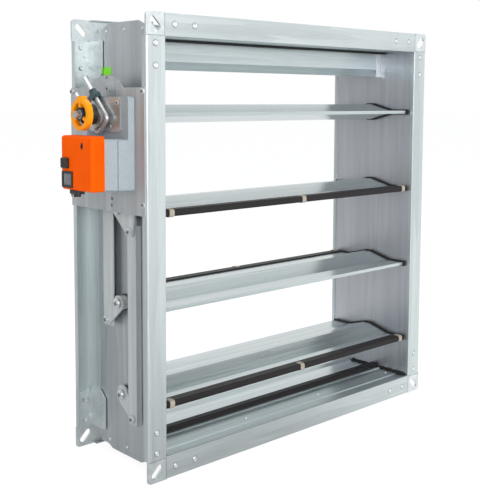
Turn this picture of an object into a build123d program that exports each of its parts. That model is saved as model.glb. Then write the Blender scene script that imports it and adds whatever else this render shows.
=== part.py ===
from build123d import *
import math
import os

# Rectangular volume control damper with four opposed blades and a spindle-mounted actuator.
# Millimetres. Origin: centre of the duct opening in the front flange plane.
# +X to the right seen from the front, +Y along the duct (into the damper), +Z up.
# The actuator sits on the left (-X) side.

os.makedirs("parts", exist_ok=True)

# Casing
DUCT_WIDTH = 540.0        # clear opening
DUCT_HEIGHT = 570.0
CASING_DEPTH = 180.0      # flange face to flange face
SHEET = 1.2               # casing panels
PANEL_LIP = 23.0          # side panel's reach past the floor and the ceiling
PANEL_CHAMFER = 49.0      # along the depth, at each corner of a side panel
END_FLANGE = 19.0         # turned edge of floor and ceiling panels, riveted to the side panels

# Flange frame
RAIL_HEIGHT = 30.0
RAIL_SHEET = 1.2
RAIL_RETURN = 10.0        # outer return, seen from the side
RAIL_BEAD = 6.5           # depth of the bead that wraps the panel's edge
RAIL_LEG = 24.0           # leg along the panel's outside
RAIL_BEND = 2.5
RAIL_GAP = 0.1            # clearance round the sheet held in the rail
CORNER_PLATE = 3.2
CORNER_RADIUS = 5.0
CORNER_LEG_UPRIGHT = 52.0  # tucked behind the rail's face
CORNER_LEG_LEVEL = 62.0
CORNER_EAR_LENGTH = 58.0  # leg up the side panel
CORNER_EAR_DEPTH = 40.0
CORNER_EAR_SHEET = 2.4
CLINCH_RADIUS = 2.6
CLINCH_DEPTH = 0.5
CLINCH_STEPS_UPRIGHT = (9.0, 38.0)  # from the rail's end
CLINCH_STEPS_LEVEL = (17.0, 51.0)
BOLT_SLOT_LENGTH = 22.0
BOLT_SLOT_WIDTH = 9.0

# Blades
BLADE_COUNT = 4
LOWEST_AXIS_HEIGHT = 68.5  # above the floor
TOP_AXIS_DROP = 104.0     # below the ceiling, leaves room for the top stop
TONGUE_END = 78.0         # half chord of the sheet-metal blade
TONGUE_START = 45.0
TONGUE_THICKNESS = 5.0
RIDGE_HALF_WIDTH = 6.0
BLADE_THICKNESS = 26.0
SKIN = 0.8
BLADE_SIDE_GAP = 1.5      # end cap to side panel
CAP_RIM = 1.8             # the end cap stands proud of the skin
CAP_GRIP = 3.0            # the skin's reach into the cap
CAP_WEB = 2.0
CAP_HUB_RADIUS = 10.5
CAP_HUB_LENGTH = 16.0
SEAL_DEPTH = 19.0
SEAL_THICKNESS = 9.6
SEAL_NOSE = 3.0           # rubber ahead of the sheet's edge
CLIP_WIDTH = 8.0
CLIP_SHEET = 0.9
CLIP_FIT = 0.05
CLIP_DEPTH = 12.0
CLIP_PLACES = (-0.485, 0.015, 0.495)   # shares of the seal's length

# Shafts, bushes, linkage
SHAFT_RADIUS = 6.0
SHAFT_GRIP = 30.0         # length inside the blade
SHAFT_FIT = 0.06          # running clearance, radial
HUB_FIT = 0.02            # clearance of a tight fit, radial
BUSH_RADIUS = 9.0
BUSH_FLANGE_RADIUS = 12.0
BUSH_FLANGE = 1.5
BUSH_INNER_REACH = 1.0    # past the panel, into the duct
LEVER_ARM = 40.0
LEVER_ANGLE = 45.0        # below the horizontal with the blades open
LEVER_SHEET = 3.0
LEVER_BOSS_LENGTH = 2.8
LEVER_BOSS_RADIUS = 10.0
LEVER_HUB_RADIUS = 13.0
LEVER_TIP_RADIUS = 8.0
SECTOR_HUB_RADIUS = 11.0
SECTOR_CORNER_RADIUS = 8.0
SECTOR_CORNER_OUT = 5.0    # the sector's corner beyond the link pin, away from the shaft
LAYER_GAP = 0.4           # between lever and bar
PIN_RADIUS = 4.0
PIN_FIT = 0.06
PIN_HEAD_RADIUS = 6.0
PIN_HEAD = 2.0
BAR_SHEET = 1.5
FRONT_BAR_WIDTH = 20.0
REAR_BAR_WIDTH = 25.0
BAR_LEG = 8.5             # turned edge, towards the panel
BAR_END = 8.5             # beyond the last pin
COUPLER_HEIGHT = 14.0
COUPLER_SHEET = 2.0
COUPLER_ABOVE_PIN = 82.0  # centre of the coupler above blade 2's link pin
END_SCREW_RADIUS = 4.5
END_SCREW_HEAD = 2.5

# Blade stops
STOP_SHEET = 1.2
STOP_END_GAP = 1.0
TOP_STOP_FRONT = 75.0
TOP_STOP_HEIGHT = 42.0
TOP_STOP_FOLD = 30.0      # height of the upright face above the sloped lip
TOP_STOP_REAR = 152.0
BOTTOM_STOP_FRONT = 24.0
BOTTOM_STOP_REAR = 152.0
BOTTOM_SEAL_FRONT = 66.0
BOTTOM_SEAL_WIDTH = 14.0
BOTTOM_SEAL_HEIGHT = 7.0
SILL_CENTRE = 140.0       # where the lowest blade's rear edge lands
SILL_HEIGHT = 3.8

# Actuator bracket
BRACKET_SHEET = 2.0
BRACKET_MARGIN = 2.0      # from each flange face
BRACKET_BELOW = 132.5     # below the drive axis
BRACKET_ABOVE = 36.0
BRACKET_DOME = 17.0
BRACKET_DOME_WIDTH = 80.0
BRACKET_BORE = 10.0
SCREW_RADIUS = 2.0
SCREW_HEAD_RADIUS = 4.3
SCREW_HEAD = 2.4
SCREW_FIT = 0.1
SCREW_LENGTH = 5.0
SCREW_INSET = 5.2         # from each flange face
SCREW_EDGE = 15.0         # from the bracket's lower edge

# Actuator
BASE_FRONT = 66.0         # from the drive axis towards the front, at the foot
BASE_REAR = 38.0
BASE_DRAFT = 19.0         # the side narrows by this much towards the cover
BASE_THICKNESS = 34.0
BASE_STEP = 7.0           # thickness beside the spindle
BASE_BELOW = 101.0        # below the drive axis
BASE_ABOVE = 24.0
BASE_STEP_BELOW = 32.0    # where the full thickness starts, below the axis
SEAM_GROOVE = 0.8
COVER_THICKNESS = 20.0
COVER_TOP_RISE = 4.0
COVER_EDGE = 5.0
RIB_COUNT = 7
RIB_PITCH = 4.0
RIB_DEPTH = 0.6
BUTTON_WIDTH = 17.0
BUTTON_HEIGHT = 14.0
BUTTON_CORNER = 2.0
KEY_SLOT = (9.5, 7.0)
BUTTON_TRAVEL = 2.5
BUTTON_FIT = 0.3
FACEPLATE_WIDTH = 72.0
FACEPLATE_SHIFT = 10.0    # towards the front, off the drive axis
FACEPLATE_HEIGHT = 46.0
FACEPLATE_SHEET = 2.0

# Spindle clamp and indicator
CLAMP_RADIUS = 19.0
CLAMP_LENGTH = 11.0
SLEEVE_RADIUS = 13.5
SLEEVE_LENGTH = 13.5
CLAMP_GAP = 0.5           # running gap between clamp and faceplate
RING_RADIUS = 21.5
RING_INNER = 15.5
RING_THICKNESS = 8.0
RING_HUB_RADIUS = 8.8
SPOKE_WIDTH = 4.0
TAB_WIDTH = 12.0
TAB_HEIGHT = 3.0
CLAMP_BOLT_RADIUS = 3.0
CLAMP_BOLT_SPACING = 31.0
CLAMP_BOLT_REACH = 54.0
CLAMP_BOLT_ANGLE = 45.0
JAW_HEIGHT = 9.0
NUT_ACROSS = 10.0
NUT_HEIGHT = 5.0
SHAFT_TIP = 8.0           # drive shaft beyond the indicator ring
SHAFT_TIP_RADIUS = 5.0    # turned down, so that a crank can go on

# Rivets
RIVET_RADIUS = 2.4
RIVET_HEAD = 0.8

# Worked-out places
HALF_WIDTH = DUCT_WIDTH / 2
HALF_HEIGHT = DUCT_HEIGHT / 2
MID_DEPTH = CASING_DEPTH / 2
OUTER_X = HALF_WIDTH + RAIL_HEIGHT
OUTER_Z = HALF_HEIGHT + RAIL_HEIGHT
PANEL_FACE = HALF_WIDTH + SHEET                    # outside of a side panel
BLADE_PITCH = (DUCT_HEIGHT - LOWEST_AXIS_HEIGHT - TOP_AXIS_DROP) / (BLADE_COUNT - 1)
AXES = [-HALF_HEIGHT + LOWEST_AXIS_HEIGHT + BLADE_PITCH * (BLADE_COUNT - 1 - i) for i in range(BLADE_COUNT)]
DRIVE_Z = AXES[0]
SEAL_SIDE = [1, -1, 1, -1]                         # +1: seal on the rear edge, -1: on the front edge
BLADE_END = HALF_WIDTH - BLADE_SIDE_GAP - CAP_WEB
CAP_INNER = BLADE_END - CAP_GRIP
CAP_OUTER = BLADE_END + CAP_WEB
ARM_REACH = LEVER_ARM * math.cos(math.radians(LEVER_ANGLE))
BUSH_FACE = PANEL_FACE + BUSH_FLANGE
LEVER_IN = BUSH_FACE + LAYER_GAP + LEVER_BOSS_LENGTH
LEVER_OUT = LEVER_IN + LEVER_SHEET
BAR_IN = LEVER_OUT + LAYER_GAP
BAR_OUT = BAR_IN + BAR_SHEET
SECTOR_IN = BAR_OUT + LAYER_GAP
SECTOR_OUT = SECTOR_IN + LEVER_SHEET
BRACKET_FACE = OUTER_X + BRACKET_SHEET
STEP_FACE = BRACKET_FACE + BASE_STEP
BASE_FACE = BRACKET_FACE + BASE_THICKNESS
COVER_FACE = BASE_FACE + COVER_THICKNESS
PLATE_FACE = STEP_FACE + FACEPLATE_SHEET
CLAMP_IN = PLATE_FACE + CLAMP_GAP
CLAMP_OUT = CLAMP_IN + CLAMP_LENGTH
SLEEVE_OUT = CLAMP_OUT + SLEEVE_LENGTH
RING_OUT = SLEEVE_OUT + RING_THICKNESS
SHAFT_OUT = RING_OUT + SHAFT_TIP
COVER_Y = (MID_DEPTH - BASE_FRONT + BASE_DRAFT, MID_DEPTH + BASE_REAR - BASE_DRAFT / 2)
COVER_Z = (DRIVE_Z - BASE_BELOW, DRIVE_Z - BASE_STEP_BELOW + COVER_TOP_RISE)


def save(name, *pieces):
    """Write one node; several pieces stay separate solids."""
    shape = pieces[0] if len(pieces) == 1 else Compound(children=list(pieces))
    export_step(shape, f"parts/{name}.step")


def along_x(face, x_from, x_to):
    """Extrude a face drawn in (Y, Z) from x_from to x_to."""
    low, high = min(x_from, x_to), max(x_from, x_to)
    return extrude(Plane.YZ.offset(low) * face, amount=high - low)


def disc(radius, y, z):
    return Pos(y, z) * Circle(radius)


def round_bar(radius, y, z, x_from, x_to):
    return along_x(disc(radius, y, z), x_from, x_to)


def area(points):
    return make_face(Polyline(points, close=True))


def bent_strip(points, thickness):
    """Face of a folded sheet: the points run along one side, the thickness lies to their left."""
    normals = []
    for (y0, z0), (y1, z1) in zip(points, points[1:]):
        length = math.hypot(y1 - y0, z1 - z0)
        normals.append((-(z1 - z0) / length, (y1 - y0) / length))
    other = []
    for i, (y, z) in enumerate(points):
        before = normals[max(i - 1, 0)]
        after = normals[min(i, len(normals) - 1)]
        share = thickness / (1 + before[0] * after[0] + before[1] * after[1])
        other.append((y + (before[0] + after[0]) * share, z + (before[1] + after[1]) * share))
    return area(list(points) + other[::-1])


def mirrored_depth(shape):
    return mirror(shape, about=Plane.XZ.offset(-MID_DEPTH))


def mirrored_width(shape):
    return mirror(shape, about=Plane.YZ)


def mirrored_height(shape):
    return mirror(shape, about=Plane.XY)


# ---------------------------------------------------------------- casing panels

def side_panel():
    """Left panel: full-height plate, narrower past the floor and ceiling, bores for the bushes."""
    edge = RAIL_SHEET + RAIL_GAP
    inset = CORNER_PLATE + 2.8
    top = HALF_HEIGHT + PANEL_LIP
    shoulder = HALF_HEIGHT - edge
    quarter = [
        (edge, shoulder), (inset, shoulder), (inset, shoulder + 3), (inset + PANEL_CHAMFER, top),
    ]
    rear = [(CASING_DEPTH - y, z) for y, z in reversed(quarter)]
    upper = quarter + rear
    lower = [(y, -z) for y, z in reversed(upper)]
    face = area(upper + lower)
    for z in AXES:
        face -= disc(BUSH_RADIUS, MID_DEPTH, z)
    return along_x(face, -PANEL_FACE, -HALF_WIDTH)


def ceiling_panel():
    """Top panel with its ends turned up against the side panels."""
    edge = RAIL_SHEET + RAIL_GAP
    flange_inset = RAIL_LEG + 2.0
    plate = Pos(0, MID_DEPTH, HALF_HEIGHT + SHEET / 2) * Box(DUCT_WIDTH, CASING_DEPTH - 2 * edge, SHEET)
    flange = Pos(-HALF_WIDTH + SHEET / 2, MID_DEPTH, HALF_HEIGHT + END_FLANGE / 2)
    flange *= Box(SHEET, CASING_DEPTH - 2 * flange_inset, END_FLANGE)
    return plate + flange + mirrored_width(flange)


# ---------------------------------------------------------------- flange frame

def rail_face():
    """Rail section: u outwards from the duct's inner surface, v into the damper."""
    wall = SHEET + RAIL_GAP
    comb = [
        (-RAIL_SHEET, 0), (RAIL_HEIGHT, 0), (RAIL_HEIGHT, RAIL_RETURN),
        (RAIL_HEIGHT - RAIL_SHEET, RAIL_RETURN), (RAIL_HEIGHT - RAIL_SHEET, RAIL_SHEET),
        (wall + RAIL_SHEET, RAIL_SHEET), (wall + RAIL_SHEET, RAIL_LEG), (wall, RAIL_LEG),
        (wall, RAIL_SHEET), (-RAIL_GAP, RAIL_SHEET), (-RAIL_GAP, RAIL_BEAD), (-RAIL_SHEET, RAIL_BEAD),
    ]
    face = area(comb)
    outer = face.vertices().sort_by(Axis.X)[-2:].sort_by(Axis.Y)[0]
    face = fillet(outer, RAIL_BEND)
    bead = face.vertices().sort_by(Axis.X)[:2].sort_by(Axis.Y)[0]
    return fillet(bead, RAIL_SHEET * 0.7)


def rail(outward, origin, length, clinch_steps):
    """Front rail: outward is the direction away from the duct. Clinch dimples hold the corners' legs."""
    depth = Vector(0, 1, 0)
    plane = Plane(origin=origin, x_dir=outward, z_dir=Vector(*outward).cross(depth))
    body = extrude(plane * rail_face(), amount=length / 2, both=True)
    along = Vector(*outward).cross(depth)
    middle = Vector(*origin) + Vector(*outward) * (RAIL_HEIGHT / 2)
    for step in clinch_steps:
        for side in (-1, 1):
            place = middle + along * (side * (length / 2 - step))
            dimple = Plane(origin=place, z_dir=(0, 1, 0)) * Circle(CLINCH_RADIUS)
            body -= extrude(dimple, amount=CLINCH_DEPTH)
    return body


def left_rail():
    """Left front rail, drilled for the actuator bracket's screws."""
    clear = RAIL_SHEET + RAIL_GAP
    body = rail((-1, 0, 0), (-HALF_WIDTH, 0, 0), DUCT_HEIGHT - 2 * clear, CLINCH_STEPS_UPRIGHT)
    for z in BRACKET_SCREWS_Z:
        body -= round_bar(SCREW_RADIUS + SCREW_FIT, SCREW_INSET, z, -OUTER_X, -OUTER_X + RAIL_SHEET)
    return body


def corner_piece():
    """Top left front corner: slotted plate, two legs behind the rails, an ear on the side panel."""
    leg_low = SHEET + 2 * RAIL_GAP + RAIL_SHEET
    leg_high = RAIL_HEIGHT - RAIL_SHEET - RAIL_GAP
    leg_front = RAIL_SHEET + RAIL_GAP / 2
    square_low = HALF_HEIGHT - RAIL_SHEET
    square = area([
        (-OUTER_X, square_low), (-HALF_WIDTH - RAIL_GAP, square_low),
        (-HALF_WIDTH - RAIL_GAP, OUTER_Z), (-OUTER_X, OUTER_Z),
    ])
    tip = square.vertices().sort_by(Axis.Y)[-2:].sort_by(Axis.X)[0]
    square = fillet(tip, CORNER_RADIUS)
    slot_place = Pos(-OUTER_X + RAIL_HEIGHT / 2, OUTER_Z - RAIL_HEIGHT / 2) * Rot(0, 0, 135)
    square -= slot_place * SlotOverall(BOLT_SLOT_LENGTH, BOLT_SLOT_WIDTH)
    chamfer = 6.0
    upright = area([
        (-HALF_WIDTH - leg_low, square_low + 1),
        (-HALF_WIDTH - leg_low, square_low - CORNER_LEG_UPRIGHT + chamfer),
        (-HALF_WIDTH - leg_low - chamfer, square_low - CORNER_LEG_UPRIGHT),
        (-HALF_WIDTH - leg_high + chamfer, square_low - CORNER_LEG_UPRIGHT),
        (-HALF_WIDTH - leg_high, square_low - CORNER_LEG_UPRIGHT + chamfer),
        (-HALF_WIDTH - leg_high, square_low + 1),
    ])
    level = area([
        (-HALF_WIDTH - 1, HALF_HEIGHT + leg_low),
        (-HALF_WIDTH + CORNER_LEG_LEVEL - chamfer, HALF_HEIGHT + leg_low),
        (-HALF_WIDTH + CORNER_LEG_LEVEL, HALF_HEIGHT + leg_low + chamfer),
        (-HALF_WIDTH + CORNER_LEG_LEVEL, HALF_HEIGHT + leg_high - chamfer),
        (-HALF_WIDTH + CORNER_LEG_LEVEL - chamfer, HALF_HEIGHT + leg_high),
        (-HALF_WIDTH - 1, HALF_HEIGHT + leg_high),
    ])
    # Plane.XZ looks along -Y, so a positive depth is a negative amount.
    plate = extrude(Plane.XZ * square, amount=-CORNER_PLATE)
    legs = extrude(Plane.XZ.offset(-leg_front) * (upright + level), amount=leg_front - CORNER_PLATE)
    ear_low = square_low - CORNER_EAR_LENGTH
    ear = area([
        (leg_front, square_low), (leg_front, ear_low + chamfer), (leg_front + chamfer, ear_low),
        (CORNER_EAR_DEPTH - 2 * chamfer, ear_low), (CORNER_EAR_DEPTH, ear_low + 2 * chamfer),
        (CORNER_EAR_DEPTH, square_low),
    ])
    ear_x = HALF_WIDTH + leg_low
    return plate + legs + along_x(ear, -ear_x - CORNER_EAR_SHEET, -ear_x)


# ---------------------------------------------------------------- blades

def blade_outline():
    tongue = TONGUE_THICKNESS / 2
    ridge = BLADE_THICKNESS / 2
    upper = [(-TONGUE_END, tongue), (-TONGUE_START, tongue), (-RIDGE_HALF_WIDTH, ridge)]
    upper += [(-y, z) for y, z in reversed(upper)]
    return area(upper + [(y, -z) for y, z in reversed(upper)])


def seal_outline():
    """Seal on the front edge: a rounded section gripping the tongue."""
    centre = -(TONGUE_END + SEAL_NOSE) + SEAL_DEPTH / 2
    return Pos(centre, 0) * RectangleRounded(SEAL_DEPTH, SEAL_THICKNESS, SEAL_THICKNESS * 0.3)


def placed(face, axis_z, side):
    """Put a blade section on its axis; side +1 turns the sealed edge to the rear."""
    turned = mirror(face, about=Plane.YZ) if side > 0 else face
    return Pos(MID_DEPTH, axis_z) * turned


def blade_skins(axis_z):
    outline = blade_outline()
    hollow = outline - offset(outline, amount=-SKIN, kind=Kind.INTERSECTION)
    tube = along_x(Pos(MID_DEPTH, axis_z) * hollow, -BLADE_END, BLADE_END)
    middle = Plane.XY.offset(axis_z)
    return [split(tube, bisect_by=middle, keep=Keep.TOP), split(tube, bisect_by=middle, keep=Keep.BOTTOM)]


def blade_seal(axis_z, side):
    section = seal_outline() - blade_outline()
    return along_x(placed(section, axis_z, side), -CAP_INNER, CAP_INNER)


def blade_clips(axis_z, side):
    """Thin clips that wrap the seal's nose."""
    seal = seal_outline()
    shell = offset(seal, amount=CLIP_SHEET) - offset(seal, amount=CLIP_FIT)
    nose = -(TONGUE_END + SEAL_NOSE + CLIP_SHEET)
    window = Pos(nose + CLIP_DEPTH / 2, 0) * Rectangle(CLIP_DEPTH, 2 * SEAL_THICKNESS)
    section = placed(shell & window, axis_z, side)
    reach = 2 * CAP_INNER - CLIP_WIDTH
    places = [share * reach for share in CLIP_PLACES]
    return [along_x(section, x - CLIP_WIDTH / 2, x + CLIP_WIDTH / 2) for x in places]


def end_cap(axis_z):
    """Right-hand cap: a rimmed tray over the blade's end with a hub that grips the stub shaft."""
    outline = blade_outline()
    rim = offset(outline, amount=CAP_RIM, kind=Kind.INTERSECTION)
    place = Pos(MID_DEPTH, axis_z)
    cap = along_x(place * rim, CAP_INNER, CAP_OUTER) - along_x(place * outline, CAP_INNER, BLADE_END)
    cap += round_bar(CAP_HUB_RADIUS, MID_DEPTH, axis_z, BLADE_END - CAP_HUB_LENGTH, BLADE_END)
    return cap - round_bar(SHAFT_RADIUS + HUB_FIT, MID_DEPTH, axis_z, 0, CAP_OUTER)


def stub_shafts(axis_z, left_reach):
    right_reach = PANEL_FACE + BUSH_FLANGE + LAYER_GAP
    left = round_bar(SHAFT_RADIUS, MID_DEPTH, axis_z, -left_reach, -BLADE_END + SHAFT_GRIP)
    if left_reach > RING_OUT:
        tip = disc(SHAFT_RADIUS + 1, MID_DEPTH, axis_z) - disc(SHAFT_TIP_RADIUS, MID_DEPTH, axis_z)
        left -= along_x(tip, -left_reach - 1, -RING_OUT)
    right = round_bar(SHAFT_RADIUS, MID_DEPTH, axis_z, BLADE_END - SHAFT_GRIP, right_reach)
    return [left, right]


def shaft_bush(axis_z):
    """Left-hand flanged bush in the side panel."""
    inner = -HALF_WIDTH + BUSH_INNER_REACH
    barrel = round_bar(BUSH_RADIUS - HUB_FIT, MID_DEPTH, axis_z, -PANEL_FACE, inner)
    flange = round_bar(BUSH_FLANGE_RADIUS, MID_DEPTH, axis_z, -BUSH_FACE, -PANEL_FACE)
    bore = round_bar(SHAFT_RADIUS + SHAFT_FIT, MID_DEPTH, axis_z, -BUSH_FACE, inner + 1)
    return barrel + flange - bore


# ---------------------------------------------------------------- linkage

OUTSIDE_LEVERS = (1, 2)    # these two lie outside their bar, so each bar is held between two levers
SECTOR_LEVER = 1           # and this one is sector-shaped


def pin_place(index):
    """Link pin's (Y, Z) with the blades open: down and to the side of the sealed edge."""
    return MID_DEPTH + SEAL_SIDE[index] * ARM_REACH, AXES[index] - ARM_REACH


def lever(index):
    """Lever plate with its boss, riveted link pin and, where the shaft ends there, an end screw."""
    axis_z = AXES[index]
    pin_y, pin_z = pin_place(index)
    outside = index in OUTSIDE_LEVERS
    x_in, x_out = (SECTOR_IN, SECTOR_OUT) if outside else (LEVER_IN, LEVER_OUT)
    hub = disc(SECTOR_HUB_RADIUS if outside else LEVER_HUB_RADIUS, MID_DEPTH, axis_z)
    outline = hub.edges() + disc(LEVER_TIP_RADIUS, pin_y, pin_z).edges()
    if index == SECTOR_LEVER:
        corner_y = pin_y + SEAL_SIDE[index] * SECTOR_CORNER_OUT
        outline += disc(SECTOR_CORNER_RADIUS, corner_y, axis_z).edges()
    plate = along_x(make_hull(outline), -x_out, -x_in)
    boss = round_bar(LEVER_BOSS_RADIUS, MID_DEPTH, axis_z, -x_in, -BUSH_FACE - LAYER_GAP)
    bore = round_bar(SHAFT_RADIUS + HUB_FIT, MID_DEPTH, axis_z, -x_out, -PANEL_FACE)
    pin_hole = round_bar(PIN_RADIUS + HUB_FIT, pin_y, pin_z, -x_out, -x_in)
    body = plate + boss - bore - pin_hole
    if outside:
        pin = round_bar(PIN_RADIUS, pin_y, pin_z, -x_out, -BAR_IN)
        pin += round_bar(PIN_HEAD_RADIUS, pin_y, pin_z, -x_out - PIN_HEAD, -x_out)
    else:
        pin = round_bar(PIN_RADIUS, pin_y, pin_z, -BAR_OUT - LAYER_GAP, -x_in)
        under_head = -BAR_OUT - LAYER_GAP
        pin += round_bar(PIN_HEAD_RADIUS, pin_y, pin_z, under_head - PIN_HEAD, under_head)
    pieces = [body, pin]
    if index > 0:
        pieces.append(round_bar(END_SCREW_RADIUS, MID_DEPTH, axis_z, -x_out - END_SCREW_HEAD, -x_out))
    return pieces


def link_bar(upper, lower, width, top_z, leg_top_z):
    """Angle bar on two link pins; its leg turns towards the panel on the side away from the shafts."""
    pin_y, upper_z = pin_place(upper)
    lower_z = pin_place(lower)[1]
    away = SEAL_SIDE[upper]
    outer_y = pin_y + away * width / 2
    bottom_z = lower_z - BAR_END
    web = Pos(pin_y, (top_z + bottom_z) / 2) * Rectangle(width, top_z - bottom_z)
    for z in (upper_z, lower_z):
        web -= disc(PIN_RADIUS + PIN_FIT, pin_y, z)
    leg = Pos(outer_y - away * BAR_SHEET / 2, (leg_top_z + bottom_z) / 2)
    leg *= Rectangle(BAR_SHEET, leg_top_z - bottom_z)
    return along_x(web, -BAR_OUT, -BAR_IN) + along_x(leg, -BAR_OUT, -BAR_OUT + BAR_LEG)


def coupler_height():
    return pin_place(1)[1] + COUPLER_ABOVE_PIN


def coupler():
    """Strap fixed to the front bar; its level slot takes the rear bar's stud, so both rise together."""
    front_y = pin_place(1)[0]
    rear_y = pin_place(0)[0]
    travel = 2 * (LEVER_ARM - ARM_REACH)
    z = coupler_height()
    play = 1.0
    slot_from, slot_to = rear_y - play, rear_y + travel + play
    start = front_y - FRONT_BAR_WIDTH / 2
    end = slot_to + PIN_RADIUS + 6
    strap = Pos((start + end) / 2, z) * Rectangle(end - start, COUPLER_HEIGHT)
    slot = SlotCenterToCenter(slot_to - slot_from, 2 * (PIN_RADIUS + PIN_FIT))
    slot = Pos((slot_from + slot_to) / 2, z) * slot
    x_in, x_out = BAR_OUT, BAR_OUT + COUPLER_SHEET
    rivets = [
        round_bar(RIVET_RADIUS, front_y + step, z, -x_out - RIVET_HEAD, -x_out)
        for step in (-FRONT_BAR_WIDTH / 4, FRONT_BAR_WIDTH / 4)
    ]
    return [along_x(strap - slot, -x_out, -x_in)] + rivets


def coupler_pin():
    """Stud on the rear bar that runs in the coupler's slot."""
    y, z = pin_place(0)[0], coupler_height()
    out = BAR_OUT + COUPLER_SHEET + LAYER_GAP
    stud = round_bar(PIN_RADIUS, y, z, -out, -BAR_OUT)
    return stud + round_bar(PIN_HEAD_RADIUS, y, z, -out - PIN_HEAD, -out)


# ---------------------------------------------------------------- blade stops

def top_stop():
    """Folded profile under the ceiling: upright face, sloped lip, shelf for the top blade to close on."""
    ceiling = HALF_HEIGHT
    lip_z = ceiling - TOP_STOP_HEIGHT
    section = bent_strip([
        (TOP_STOP_FRONT + 30, ceiling), (TOP_STOP_FRONT, ceiling),
        (TOP_STOP_FRONT, ceiling - TOP_STOP_FOLD),
        (TOP_STOP_FRONT + 9, lip_z), (TOP_STOP_FRONT + 22, lip_z + 3), (TOP_STOP_REAR, lip_z + 5.7),
        (TOP_STOP_REAR, lip_z + 24),
    ], STOP_SHEET)
    return along_x(section, -HALF_WIDTH + STOP_END_GAP, HALF_WIDTH - STOP_END_GAP)


def bottom_stop():
    """Folded profile on the floor: low step for the seal and a sill where the lowest blade lands."""
    floor = -HALF_HEIGHT
    step = 2.0
    seal_rear = BOTTOM_SEAL_FRONT + BOTTOM_SEAL_WIDTH
    section = bent_strip([
        (BOTTOM_STOP_FRONT, floor), (BOTTOM_SEAL_FRONT - 6, floor), (BOTTOM_SEAL_FRONT - 4, floor + step),
        (seal_rear + 2, floor + step), (seal_rear + 4, floor), (SILL_CENTRE - 9, floor),
        (SILL_CENTRE, floor + SILL_HEIGHT - STOP_SHEET), (SILL_CENTRE + 9, floor),
        (BOTTOM_STOP_REAR, floor),
    ], STOP_SHEET)
    return along_x(section, -HALF_WIDTH + STOP_END_GAP, HALF_WIDTH - STOP_END_GAP)


def bottom_seal():
    base = -HALF_HEIGHT + 2.0 + STOP_SHEET
    centre = Pos(BOTTOM_SEAL_FRONT + BOTTOM_SEAL_WIDTH / 2, base + BOTTOM_SEAL_HEIGHT / 2)
    section = centre * Rectangle(BOTTOM_SEAL_WIDTH, BOTTOM_SEAL_HEIGHT)
    section = fillet(section.vertices().sort_by(Axis.Y)[-2:], 2.0)
    length = DUCT_WIDTH - 2 * STOP_END_GAP - 4
    return along_x(section, -length / 2, length / 2)


# ---------------------------------------------------------------- actuator

BRACKET_LOW = DRIVE_Z - BRACKET_BELOW
BRACKET_HIGH = DRIVE_Z + BRACKET_ABOVE
BRACKET_SCREWS_Z = (BRACKET_LOW + SCREW_EDGE, BRACKET_HIGH - 5.0)
BRACKET_SCREWS_Y = (SCREW_INSET, CASING_DEPTH - SCREW_INSET)


def bracket():
    """Plate across both flanges with a domed top, a shaft opening and spare fixing holes."""
    rectangle = area([
        (BRACKET_MARGIN, BRACKET_LOW), (CASING_DEPTH - BRACKET_MARGIN, BRACKET_LOW),
        (CASING_DEPTH - BRACKET_MARGIN, BRACKET_HIGH), (BRACKET_MARGIN, BRACKET_HIGH),
    ])
    half = BRACKET_DOME_WIDTH / 2
    radius = (half ** 2 + BRACKET_DOME ** 2) / (2 * BRACKET_DOME)
    cap = disc(radius, MID_DEPTH, BRACKET_HIGH + BRACKET_DOME - radius)
    above = Pos(MID_DEPTH, BRACKET_HIGH + BRACKET_DOME / 2) * Rectangle(BRACKET_DOME_WIDTH, BRACKET_DOME)
    face = rectangle + (cap & above)
    face -= disc(BRACKET_BORE, MID_DEPTH, DRIVE_Z)
    hole_radius = 2.3
    upper_holes = [(MID_DEPTH - 3, BRACKET_HIGH + step) for step in (13, -2)]
    lower_holes = [(MID_DEPTH - 13, BRACKET_LOW + step) for step in (18, 9)]
    for y, z in upper_holes + lower_holes:
        face -= disc(hole_radius, y, z)
    for y in BRACKET_SCREWS_Y:
        for z in BRACKET_SCREWS_Z:
            face -= disc(SCREW_RADIUS + SCREW_FIT, y, z)
    return along_x(face, -BRACKET_FACE, -OUTER_X)


def bracket_screws():
    screws = []
    for y in BRACKET_SCREWS_Y:
        for z in BRACKET_SCREWS_Z:
            head = round_bar(SCREW_HEAD_RADIUS, y, z, -BRACKET_FACE - SCREW_HEAD, -BRACKET_FACE)
            screws.append(head + round_bar(SCREW_RADIUS, y, z, -BRACKET_FACE, -BRACKET_FACE + SCREW_LENGTH))
    return screws


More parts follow.
